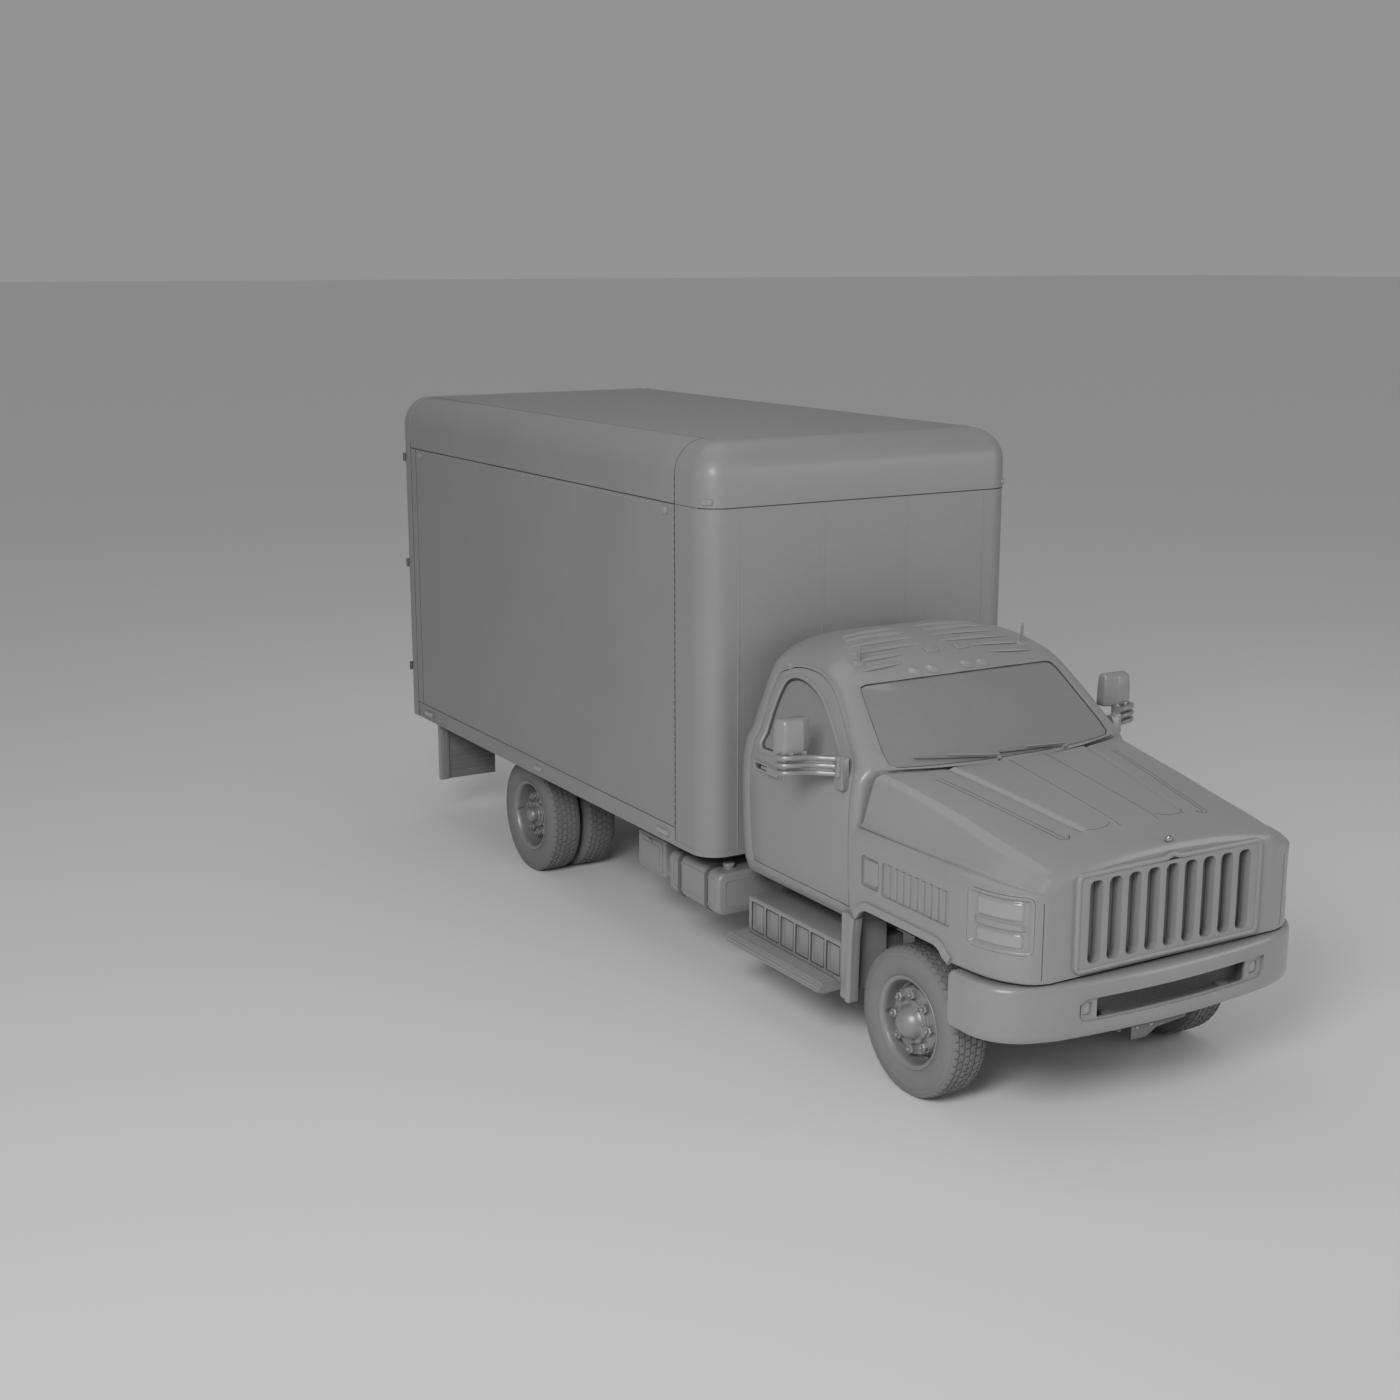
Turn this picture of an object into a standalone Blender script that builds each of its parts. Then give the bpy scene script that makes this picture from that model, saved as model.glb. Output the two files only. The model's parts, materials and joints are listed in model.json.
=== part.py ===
"""Medium-duty box truck: chassis, tilting nose, cab with two doors, and a van body with rear doors.

Metres, +Z up, the truck facing -Y and its left side at +X. Lengths along the truck are measured
from the front axle; the root empty moves the whole truck so that the origin is under its middle.
"""

import math

import bmesh
import bpy
from mathutils import Matrix, Vector

# Overall
WHEELBASE = 4.934
BODY_WIDTH = 2.44
BODY_FRONT = 1.953
BODY_LENGTH = 4.86
BODY_BOTTOM = 0.90
BODY_TOP = 3.576
CAB_WIDTH = 2.10
CAB_FRONT = 0.53
CAB_REAR = 1.875
CAB_BOTTOM = 0.865
CAB_TOP = 2.385
NOSE_WIDTH = 2.20
NOSE_FRONT = -0.955
NOSE_BOTTOM = 0.95
FRONT_END = -1.05
TAIL_HARDWARE = 0.035

# Wheels
TYRE_RADIUS = 0.438
TYRE_WIDTH = 0.26
RIM_RADIUS = 0.262
FRONT_TRACK_HALF = 0.925
REAR_OUTER_HALF = 0.932
DUAL_SPACING = 0.30
KINGPIN_HALF = 0.79
TURN_STEPS = 28

# Chassis
RAIL_HALF_SPACING = 0.43
RAIL_WIDTH = 0.07
RAIL_BOTTOM = 0.63
RAIL_TOP = 0.86
RAIL_FRONT = -0.78

# Van body panels
WALL = 0.04
LOWER_RAIL_TOP = 1.027
CROWN_BOTTOM = 3.169
CROWN_RADIUS = 0.222
CORNER_RADIUS = 0.178
FRONT_CAP_LENGTH = 0.389
REAR_FRAME_DEPTH = 0.113
DECK_TOP = 1.06
DECK_THICKNESS = 0.08
DOOR_OPENING_HALF = 1.12
DOOR_OPENING_TOP = 3.34
CARGO_DOOR_THICKNESS = 0.04

# Cab panels
CAB_WALL = 0.06
GLASS_INSET = 0.012
GLASS_THICKNESS = 0.008
SILL_TOP = 0.955
BELT = 1.765
BACK_WALL_FRONT = 1.70
BACK_WALL_TOP = 2.20
NOSE_WALL = 0.03
SHELF = 1.49
FENDER_INNER = 0.885
HOOD_REAR = 0.50
COWL_BOW = 0.23
ARCH_HALF = 0.46
ARCH_TOP = 1.02

# Gaps
TOUCH = 0.0003
SEAM = 0.003
SWING = 0.006

BODY_REAR = BODY_FRONT + BODY_LENGTH
MIDDLE = (FRONT_END + BODY_REAR + TAIL_HARDWARE) / 2

parts = bpy.data.collections.new("box_truck")
cutters = bpy.data.collections.new("cutters")


def clear_scene():
    for obj in list(bpy.data.objects):
        bpy.data.objects.remove(obj)
    bpy.context.scene.collection.children.link(parts)
    bpy.context.scene.collection.children.link(cutters)


# Shape helpers


def new_object(name, bm):
    bmesh.ops.recalc_face_normals(bm, faces=bm.faces)
    mesh = bpy.data.meshes.new(name)
    bm.to_mesh(mesh)
    bm.free()
    obj = bpy.data.objects.new(name, mesh)
    parts.objects.link(obj)
    return obj


def bake(obj):
    """Turns the object's modifiers into mesh."""
    graph = bpy.context.evaluated_depsgraph_get()
    mesh = bpy.data.meshes.new_from_object(obj.evaluated_get(graph))
    obj.modifiers.clear()
    obj.data = mesh
    return obj


def box(name, low, high, bevel=0.0, segments=2):
    low, high = Vector(low), Vector(high)
    bm = bmesh.new()
    bmesh.ops.create_cube(bm, size=1.0)
    bmesh.ops.scale(bm, vec=high - low, verts=bm.verts)
    bmesh.ops.translate(bm, vec=(high + low) / 2, verts=bm.verts)
    if bevel:
        bmesh.ops.bevel(bm, geom=bm.edges[:], offset=bevel, segments=segments, profile=0.5,
                        affect="EDGES")
    return new_object(name, bm)


def arc(centre, radius, start, end, steps):
    """Points of an arc in a plane, angles in degrees, both ends included."""
    angles = [math.radians(start + (end - start) * i / steps) for i in range(steps + 1)]
    return [(centre[0] + radius * math.cos(a), centre[1] + radius * math.sin(a)) for a in angles]


def rounded(low, high, radius, steps=4):
    """Closed outline of a rectangle with round corners."""
    (a0, b0), (a1, b1) = low, high
    corners = [(a1 - radius, b0 + radius, -90), (a1 - radius, b1 - radius, 0),
               (a0 + radius, b1 - radius, 90), (a0 + radius, b0 + radius, 180)]
    return [p for a, b, turn in corners for p in arc((a, b), radius, turn, turn + 90, steps)]


def plate(name, outlines, axis, low, high):
    """Flat outlines, the first with the others as holes, made solid from low to high along axis."""
    curve = bpy.data.curves.new(name, "CURVE")
    curve.dimensions = "2D"
    curve.fill_mode = "BOTH"
    curve.extrude = (high - low) / 2
    for outline in outlines:
        spline = curve.splines.new("POLY")
        spline.points.add(len(outline) - 1)
        for point, (a, b) in zip(spline.points, outline):
            point.co = (a, b, 0, 1)
        spline.use_cyclic_u = True
    holder = bpy.data.objects.new(name, curve)
    parts.objects.link(holder)
    graph = bpy.context.evaluated_depsgraph_get()
    mesh = bpy.data.meshes.new_from_object(holder.evaluated_get(graph))
    bpy.data.objects.remove(holder)
    bm = bmesh.new()
    bm.from_mesh(mesh)
    bmesh.ops.remove_doubles(bm, verts=bm.verts, dist=0.00001)
    rows = {"X": ((0, 0, 1), (1, 0, 0), (0, 1, 0)),
            "Y": ((1, 0, 0), (0, 0, -1), (0, 1, 0)),
            "Z": ((1, 0, 0), (0, 1, 0), (0, 0, 1))}[axis]
    bmesh.ops.transform(bm, matrix=Matrix(rows).to_4x4(), verts=bm.verts)
    shift = Vector([(low + high) / 2 if axis == letter else 0.0 for letter in "XYZ"])
    bmesh.ops.translate(bm, vec=shift, verts=bm.verts)
    return new_object(name, bm)


def loft(name, rings):
    """Skin over closed rings that have the same number of points, with a cap at each end."""
    bm = bmesh.new()
    rows = [[bm.verts.new(p) for p in ring] for ring in rings]
    for low, high in zip(rows, rows[1:]):
        for i in range(len(low)):
            bm.faces.new((low[i - 1], low[i], high[i], high[i - 1]))
    bm.faces.new(rows[0])
    bm.faces.new(rows[-1])
    bmesh.ops.triangulate(bm, faces=bm.faces)
    return new_object(name, bm)


def turned(name, profile, place, steps=TURN_STEPS):
    """Closed profile of (radius, height) turned round the local Z axis, then put in place."""
    mesh = bpy.data.meshes.new(name)
    count = len(profile)
    closed = profile[0][0] > 0 and profile[-1][0] > 0
    edges = [(i, (i + 1) % count) for i in range(count if closed else count - 1)]
    mesh.from_pydata([(r, 0, z) for r, z in profile], edges, [])
    obj = bpy.data.objects.new(name, mesh)
    parts.objects.link(obj)
    screw = obj.modifiers.new("turn", "SCREW")
    screw.steps = screw.render_steps = steps
    screw.use_merge_vertices = True
    screw.merge_threshold = 0.0001
    bake(obj)
    bm = bmesh.new()
    bm.from_mesh(obj.data)
    bmesh.ops.transform(bm, matrix=place, verts=bm.verts)
    bpy.data.objects.remove(obj)
    return new_object(name, bm)


def rod(name, start, end, radius, steps=12):
    """Straight round bar between two points."""
    start, end = Vector(start), Vector(end)
    run = end - start
    bm = bmesh.new()
    bmesh.ops.create_cone(bm, cap_ends=True, segments=steps, radius1=radius, radius2=radius,
                          depth=run.length)
    turn = Vector((0, 0, 1)).rotation_difference(run).to_matrix().to_4x4()
    bmesh.ops.transform(bm, matrix=Matrix.Translation((start + end) / 2) @ turn, verts=bm.verts)
    return new_object(name, bm)


def copy_of(obj, name):
    twin = bpy.data.objects.new(name, obj.data.copy())
    parts.objects.link(twin)
    return twin


def discard(obj):
    bpy.data.objects.remove(obj)


def combine(target, tool, operation, keep=False):
    modifier = target.modifiers.new(operation, "BOOLEAN")
    modifier.operation = operation
    modifier.object = tool
    bake(target)
    if not keep:
        discard(tool)
    return target


def join(target, *tools):
    for tool in tools:
        combine(target, tool, "UNION")
    return target


def cut(target, *tools):
    for tool in tools:
        combine(target, tool, "DIFFERENCE")
    return target


def piece_of(shell, name, region, holes=()):
    """The part of a shell inside a region, less the holes."""
    piece = copy_of(shell, name)
    combine(piece, region, "INTERSECT")
    return cut(piece, *holes)


def along_x(x, y, z, side=1):
    """Places a turned shape with its local Z pointing outwards along X."""
    return Matrix.Translation((x, y, z)) @ Matrix.Rotation(math.radians(90 * side), 4, "Y")


# Wheels and axles


def tyre(name, x, y, side):
    half = TYRE_WIDTH / 2
    tread = TYRE_RADIUS
    bead = RIM_RADIUS
    profile = [(bead, half - 0.03), (bead + 0.05, half), (tread - 0.06, half - 0.002),
               (tread - 0.012, half - 0.025), (tread, half - 0.055)]
    profile += [(r, -z) for r, z in reversed(profile)]
    return turned(name, profile, along_x(x, y, tread, side))


def front_rim(name, x, y, side):
    """Front disc wheel with its hub, dished outwards."""
    half = TYRE_WIDTH / 2
    edge = RIM_RADIUS - TOUCH
    profile = [(0.0, half + 0.045), (0.07, half + 0.02), (0.085, half - 0.035), (0.205, half - 0.06),
               (edge - 0.018, half - 0.014), (edge, half - 0.014), (edge, -half + 0.02),
               (edge - 0.026, -half + 0.02), (edge - 0.03, half - 0.08), (0.09, half - 0.07),
               (0.09, -0.02), (0.0, -0.02)]
    return turned(name, profile, along_x(x, y, TYRE_RADIUS, side))


def dual_rim(name, x, y, side):
    """Two rear disc wheels back to back with the hub through them, turned as one piece."""
    half = TYRE_WIDTH / 2
    edge = RIM_RADIUS - TOUCH
    inner = -DUAL_SPACING
    profile = [(0.0, half), (0.07, half - 0.02), (0.08, half - 0.08), (0.19, half - 0.13),
               (edge - 0.024, half - 0.02), (edge, half - 0.014), (edge, -half + 0.02),
               (0.215, -0.10), (0.215, inner + 0.10), (edge, inner + half - 0.02),
               (edge, inner - half + 0.02), (edge - 0.026, inner - half + 0.02),
               (0.18, inner + 0.07), (0.10, inner + 0.05), (0.10, inner + 0.02), (0.0, inner + 0.02)]
    return turned(name, profile, along_x(x, y, TYRE_RADIUS, side))


def leaf_spring(name, x, y, seat, length, rise):
    """Bowed leaf pack along Y, sitting on the axle seat and rising to its hangers."""
    half = length / 2
    steps = 12
    stations = [-half + length * i / steps for i in range(steps + 1)]
    lower = [(s, seat + rise * (s / half) ** 2) for s in stations]
    upper = [(s, z + 0.012 + 0.045 * (1 - abs(s) / half)) for s, z in reversed(lower)]
    outline = [(y + s, z) for s, z in lower + upper]
    return plate(name, [outline], "X", x - 0.035, x + 0.035)


def front_axle():
    """Dropped beam with a leaf pack on each side."""
    centre = TYRE_RADIUS - 0.10
    spring = RAIL_HALF_SPACING
    end = KINGPIN_HALF - 0.07
    top = [(-end, TYRE_RADIUS + 0.05), (-end + 0.06, TYRE_RADIUS + 0.05), (-spring - 0.08, centre + 0.05),
           (spring + 0.08, centre + 0.05), (end - 0.06, TYRE_RADIUS + 0.05), (end, TYRE_RADIUS + 0.05)]
    bottom = [(x, z - 0.085) for x, z in reversed(top)]
    axle = plate("front_axle", [top + bottom], "Y", -0.045, 0.045)
    for side in (-1, 1):
        join(axle, leaf_spring("leaf", side * spring, 0.0, centre + 0.04, 1.30, 0.14))
    return axle


def knuckle(name, side):
    """Steering knuckle: a fork over the beam's end, the spindle and the steering arm."""
    x = side * KINGPIN_HALF
    z = TYRE_RADIUS
    body = box(name, (x - 0.035, -0.045, z - 0.10), (x + 0.035, 0.045, z + 0.10))
    spindle = rod("spindle", (x, 0, z), (side * (FRONT_TRACK_HALF - 0.03), 0, z), 0.045, 16)
    arm = box("arm", (x - side * 0.02 - 0.015, 0.03, z - 0.09), (x - side * 0.02 + 0.015, 0.20, z - 0.06))
    return join(body, spindle, arm)


def rear_axle():
    """Axle tube with the differential and a leaf pack on each side."""
    z = TYRE_RADIUS
    end = REAR_OUTER_HALF - DUAL_SPACING - 0.02 - TOUCH
    axle = rod("rear_axle", (-end, WHEELBASE, z), (end, WHEELBASE, z), 0.068, 14)
    bulb = [(0.0, 0.17), (0.08, 0.155), (0.15, 0.10), (0.18, 0.0), (0.15, -0.10), (0.08, -0.155), (0.0, -0.17)]
    join(axle, turned("bulb", bulb, along_x(0, WHEELBASE, z), 18))
    join(axle, rod("pinion", (0, WHEELBASE - 0.10, z), (0, WHEELBASE - 0.30, z), 0.07, 12))
    for side in (-1, 1):
        join(axle, leaf_spring("leaf", side * RAIL_HALF_SPACING, WHEELBASE, z + 0.045, 1.40, 0.08))
    return axle


def carry(node, empty, centre):
    node.data.transform(Matrix.Translation(-Vector(centre)))
    node.parent = empty


def pivot(name, centre, nodes, parent):
    """Empty on a joint's axis that carries the pieces that turn about it."""
    empty = bpy.data.objects.new(name, None)
    parts.objects.link(empty)
    empty.location = centre
    empty.parent = parent
    for node in nodes:
        carry(node, empty, centre)
    return empty


# Chassis


def chassis_frame():
    """Ladder frame: two rails and the members between them."""
    rail_rear = BODY_REAR - 0.08
    outer = RAIL_HALF_SPACING + RAIL_WIDTH / 2
    frame = None
    for side in (-1, 1):
        x = side * RAIL_HALF_SPACING
        rail = box("chassis_frame", (x - RAIL_WIDTH / 2, RAIL_FRONT, RAIL_BOTTOM),
                   (x + RAIL_WIDTH / 2, rail_rear, RAIL_TOP))
        frame = join(frame, rail) if frame else rail
    for y in (RAIL_FRONT + 0.06, CAB_REAR - 0.10, BODY_FRONT + 1.45, WHEELBASE - 0.75, WHEELBASE + 0.75,
              rail_rear - 0.08):
        join(frame, box("member", (-outer + 0.01, y - 0.04, RAIL_BOTTOM + 0.06),
                        (outer - 0.01, y + 0.04, RAIL_TOP - 0.03)))
    frame.name = "chassis_frame"
    return frame


def engine_block():
    """Stand-in for the engine and gearbox, at their real size and place."""
    clear = RAIL_HALF_SPACING - RAIL_WIDTH / 2 - 0.05
    block = box("engine_block", (-clear + 0.02, -0.50, 0.52), (clear - 0.02, 0.42, 1.28))
    gearbox = box("gearbox", (-0.19, 0.38, 0.555), (0.19, 1.15, 0.81))
    return join(block, gearbox)


def drive_shaft():
    return rod("drive_shaft", (0, 1.155, 0.60), (0, WHEELBASE - 0.30 - 0.004, TYRE_RADIUS), 0.045, 16)


def front_bumper():
    """Wrap-round bumper with a long slot."""
    half = NOSE_WIDTH / 2 + 0.05
    outer = [(half, -0.50), (half, -0.66), (half - 0.025, -0.75), (half - 0.075, -0.84),
             (half - 0.17, -0.925), (half - 0.34, -0.985), (half - 0.70, -1.03), (0.0, FRONT_END)]
    inner = [(x - 0.05 * min(1, x / half + 0.2), y + 0.055) for x, y in outer[2:]]
    inner = [(half - 0.05, -0.50), (half - 0.05, -0.66)] + inner[:-1] + [(0.0, FRONT_END + 0.055)]
    left = outer + [(-x, y) for x, y in reversed(outer[:-1])]
    right = inner + [(-x, y) for x, y in reversed(inner[:-1])]
    bumper = plate("front_bumper", [left + right[::-1]], "Z", 0.615, 0.935)
    cut(bumper, box("slot", (-0.66, -1.2, 0.735), (0.66, -0.9, 0.835)))
    for side in (-1, 1):
        x = side * RAIL_HALF_SPACING
        join(bumper, box("bracket", (x - 0.03, -1.00, 0.65), (x + 0.03, RAIL_FRONT - TOUCH, 0.72)))
    return bumper


def splash_guard(name, side):
    """Panel behind the front wheel, below the fender."""
    outer = NOSE_WIDTH / 2 - 0.005
    low, high = sorted((side * (outer - 0.05), side * outer))
    outline = [(ARCH_HALF + 0.015, 0.42), (ARCH_HALF + 0.09, 0.40), (ARCH_HALF + 0.14, 0.44),
               (ARCH_HALF + 0.14, NOSE_BOTTOM - SWING), (ARCH_HALF - 0.02, NOSE_BOTTOM - SWING),
               (ARCH_HALF, 0.80)]
    return plate(name, [outline], "X", low, high)


def step(name, side):
    """Side box with the tread below it."""
    def across(inner, outer):
        return sorted((side * inner, side * outer))
    low, high = across(0.62, 1.06)
    y0, y1 = ARCH_HALF + 0.15, 1.68
    body = box(name, (low, y0, 0.47), (high, y1, 0.72))
    low, high = across(0.95, 1.20)
    tread = box("tread", (low, y0 + 0.06, 0.41), (high, y1 + 0.08, 0.475), 0.02)
    low, high = across(RAIL_HALF_SPACING + RAIL_WIDTH / 2 + TOUCH, 0.64)
    hanger = box("hanger", (low, y0 + 0.25, 0.64), (high, y1 - 0.25, 0.70))
    return join(body, tread, hanger)


def fuel_tank():
    y0, y1 = BODY_FRONT + 0.0, BODY_FRONT + 0.65
    tank = box("fuel_tank", (-1.12, y0, 0.50), (-0.56, y1, 0.79), 0.05, 3)
    hanger = box("hanger", (-0.58, y0 + 0.15, 0.66), (-RAIL_HALF_SPACING - RAIL_WIDTH / 2 - TOUCH, y1 - 0.15, 0.74))
    return join(tank, hanger)


def equipment_box():
    y0, y1 = BODY_FRONT + 0.92, BODY_FRONT + 1.30
    body = box("equipment_box", (-1.0, y0, 0.48), (-0.56, y1, 0.76), 0.015, 1)
    hanger = box("hanger", (-0.58, y0 + 0.08, 0.66), (-RAIL_HALF_SPACING - RAIL_WIDTH / 2 - TOUCH, y1 - 0.08, 0.74))
    return join(body, hanger)


def mud_flap(name, side):
    """Flap and its edge strip, hung from the deck behind the rear wheels."""
    y = WHEELBASE + 1.47
    low, high = sorted((side * 0.66, side * 1.17))
    flap = box(name, (low, y, 0.40), (high, y + 0.012, BODY_BOTTOM - TOUCH))
    low, high = sorted((side * 1.09, side * 1.17))
    return join(flap, box("strip", (low, y - 0.02, 0.40), (high, y + 0.03, BODY_BOTTOM - TOUCH)))


# Nose

# Station along the truck, half width, shelf height, crease half width, crease height, centre height
NOSE_STATIONS = [(NOSE_FRONT, 0.86, 1.44, 0.76, 1.500, 1.560),
                 (NOSE_FRONT + 0.025, 0.935, 1.45, 0.80, 1.525, 1.595),
                 (NOSE_FRONT + 0.08, 0.995, 1.46, 0.825, 1.545, 1.612),
                 (NOSE_FRONT + 0.17, 1.05, 1.47, 0.84, 1.565, 1.630),
                 (NOSE_FRONT + 0.30, 1.085, 1.48, 0.85, 1.590, 1.655),
                 (-0.45, 1.10, SHELF, 0.86, 1.625, 1.690),
                 (-0.10, 1.10, SHELF, 0.875, 1.690, 1.745),
                 (0.20, 1.10, SHELF, 0.895, 1.735, 1.790),
                 (0.52, 1.095, SHELF, 0.925, 1.778, 1.828)]


def nose_ring(station, inset):
    y, half, shelf, crease, crease_z, top = station
    half, crease = half - inset, crease - inset
    shelf, crease_z, top = shelf - inset, crease_z - inset, top - inset
    bottom = NOSE_BOTTOM - (0.05 if inset else 0.0)
    right = [(0.0, bottom), (0.5 * half, bottom), (half - 0.02, bottom), (half, bottom + 0.03),
             (half, shelf - 0.04), (half - 0.012, shelf - 0.01), (half - 0.035, shelf + 0.004),
             ((half + 2 * crease) / 3, (shelf + 2 * crease_z) / 3), (crease + 0.008, crease_z - 0.012),
             (crease - 0.02, crease_z + 0.004)]
    for share in (0.7, 0.35, 0.0):
        x = crease * share
        right.append((x, top - (top - crease_z) * share ** 2))
    ring = right + [(-x, z) for x, z in reversed(right[1:-1])]
    return [(x, y, z) for x, z in ring]


def cowl_curve():
    """Plan line of the hood's rear edge, bowed forward at the middle."""
    xs = [NOSE_WIDTH * (i / 12 - 0.5) * 1.2 for i in range(13)]
    return [(x, HOOD_REAR - COWL_BOW * max(0.0, 1 - (x / 0.95) ** 2)) for x in xs]


def nose_solid(name, inset):
    rings = [nose_ring(station, inset) for station in NOSE_STATIONS]
    if inset:
        rings[0] = [(x, y + inset, z) for x, y, z in rings[0]]
        rings.append([(x, 1.2, z) for x, y, z in rings[-1]])
    return loft(name, rings)


def nose():
    """Hood with the front surround, the two fenders, the grille and the headlamps."""
    shell = nose_solid("nose_shell", 0.0)
    cut(shell, nose_solid("nose_space", NOSE_WALL))
    arches = box("arches", (-1.4, -ARCH_HALF, 0.5), (1.4, ARCH_HALF, ARCH_TOP), 0.05)
    cut(shell, arches)
    cut(shell, plate("behind", [cowl_curve() + [(1.4, 1.5), (-1.4, 1.5)]], "Z", 0.5, 2.2))
    low, high = SHELF - 0.035, NOSE_FRONT - 0.1
    pieces = []
    for name, side in (("fender_left", 1), ("fender_right", -1)):
        x0, x1 = sorted((side * (FENDER_INNER + SEAM), side * 1.3))
        fender = piece_of(shell, name, box("region", (x0, -1.2, 0.5), (x1, 0.8, low - SEAM)))
        lamp_low, lamp_high = sorted((side * (FENDER_INNER + 0.03), side * 1.3))
        lamp_region = box("region", (lamp_low, -1.2, 1.12), (lamp_high, -0.60, 1.42))
        lamp = piece_of(fender, name.replace("fender", "headlamp"), lamp_region)
        hole = box("hole", (lamp_low - 0.003, -1.2, 1.117), (lamp_high + 0.003, -0.597, 1.423))
        cut(fender, hole)
        pieces += [fender, lamp]
    hood = piece_of(shell, "hood", box("region", (-1.3, -1.2, 0.5), (1.3, 0.8, 1.9)))
    for side in (-1, 1):
        x0, x1 = sorted((side * FENDER_INNER, side * 1.3))
        cut(hood, box("region", (x0, -1.2, 0.5), (x1, 0.8, low)))
    cut(hood, box("grille_hole", (-0.655, high, 0.985), (0.655, NOSE_FRONT + 0.2, 1.51)))
    grille = grille_plate()
    discard(shell)
    return [hood, grille] + pieces


def grille_plate():
    """Plate with nine upright slots."""
    slots = 9
    pitch = 0.134
    width = 0.078
    outline = rounded((-0.652, 0.988), (0.652, 1.507), 0.02, 2)
    holes = [rounded((pitch * (i - 4) - width / 2, 1.02), (pitch * (i - 4) + width / 2, 1.475), 0.03, 2)
             for i in range(slots)]
    return plate("grille", [outline] + holes, "Y", NOSE_FRONT + 0.005, NOSE_FRONT + 0.04)


# Cab

# Height, half width, front, rear, front bow, rear corner radius
CAB_LEVELS = [(CAB_BOTTOM, 1.00, CAB_FRONT, CAB_REAR - 0.02, 0.0, 0.12),
              (SILL_TOP, 1.035, CAB_FRONT, CAB_REAR - 0.01, 0.0, 0.14),
              (1.35, CAB_WIDTH / 2, CAB_FRONT, CAB_REAR, 0.0, 0.14),
              (1.62, CAB_WIDTH / 2 - 0.005, CAB_FRONT, CAB_REAR, 0.0, 0.14),
              (1.74, 1.02, CAB_FRONT, CAB_REAR - 0.005, 0.0, 0.14),
              (1.795, 0.985, CAB_FRONT + 0.01, CAB_REAR - 0.01, 0.24, 0.14),
              (2.00, 0.925, 0.765, CAB_REAR - 0.03, 0.18, 0.15),
              (2.205, 0.86, 1.00, CAB_REAR - 0.06, 0.13, 0.16),
              (2.285, 0.80, 1.14, CAB_REAR - 0.09, 0.11, 0.18),
              (2.345, 0.69, 1.29, CAB_REAR - 0.14, 0.09, 0.20),
              (CAB_TOP, 0.50, 1.43, CAB_REAR - 0.22, 0.05, 0.10)]


def cab_ring(level, inset):
    z, half, front, rear, bow, corner = level
    low = z == CAB_LEVELS[0][0]
    high = z == CAB_LEVELS[-1][0]
    z = z + inset if low else z - inset if high or z > 2.25 else z
    half, front, rear = half - inset, front + inset, rear - inset
    corner = max(corner - inset / 2, 0.03)
    nose = 0.05
    ring = [(half * share, front) for share in (0.0, 0.35, 0.7)]
    ring += arc((half - nose, front + nose), nose, -90, 0, 2)
    ring += arc((half - corner, rear - corner), corner, 0, 90, 4)
    ring += [(0.0, rear)]
    ring += [(-x, y) for x, y in reversed(ring[1:-1])]
    bowed = [(x, y - (bow * max(0.0, 1 - (x / half) ** 2) if y < front + 0.2 else 0.0), z) for x, y in ring]
    return bowed


def cab_solid(name, inset):
    return loft(name, [cab_ring(level, inset) for level in CAB_LEVELS])


DOOR_OUTLINE = [(0.60, SILL_TOP), (1.66, SILL_TOP), (1.685, 1.35), (1.685, 1.72), (1.635, 2.12),
                (1.55, 2.20), (1.42, 2.235), (1.24, 2.235), (1.11, 2.205), (1.00, 2.145),
                (0.83, 1.995), (0.655, 1.80), (0.61, 1.72), (0.60, 1.64)]
WINDOW_OUTLINE = [(0.76, 1.73), (1.60, 1.70), (1.60, 1.80), (1.56, 2.05), (1.51, 2.12), (1.41, 2.16),
                  (1.24, 2.165), (1.14, 2.14), (1.05, 2.08), (0.90, 1.94), (0.78, 1.81)]
WINDSHIELD = [(0.0, 1.812), (0.50, 1.806), (0.80, 1.800), (0.845, 1.815), (0.835, 1.86), (0.745, 2.15),
              (0.715, 2.19), (0.66, 2.20), (0.35, 2.212), (0.0, 2.216)]


def shrunk(outline, gap):
    """Outline moved inwards by a gap, corner by corner."""
    count = len(outline)
    area = sum(outline[i - 1][0] * outline[i][1] - outline[i][0] * outline[i - 1][1] for i in range(count))
    turn = 1 if area > 0 else -1
    result = []
    for i in range(count):
        before, here, after = (Vector(outline[j % count]) for j in (i - 1, i, i + 1))
        a = (here - before).normalized()
        b = (after - here).normalized()
        normal = Vector((-a.y - b.y, a.x + b.x)) * turn
        normal /= max(0.4, 1 + a.dot(b))
        result.append(tuple(here + normal * gap))
    return result


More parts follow.
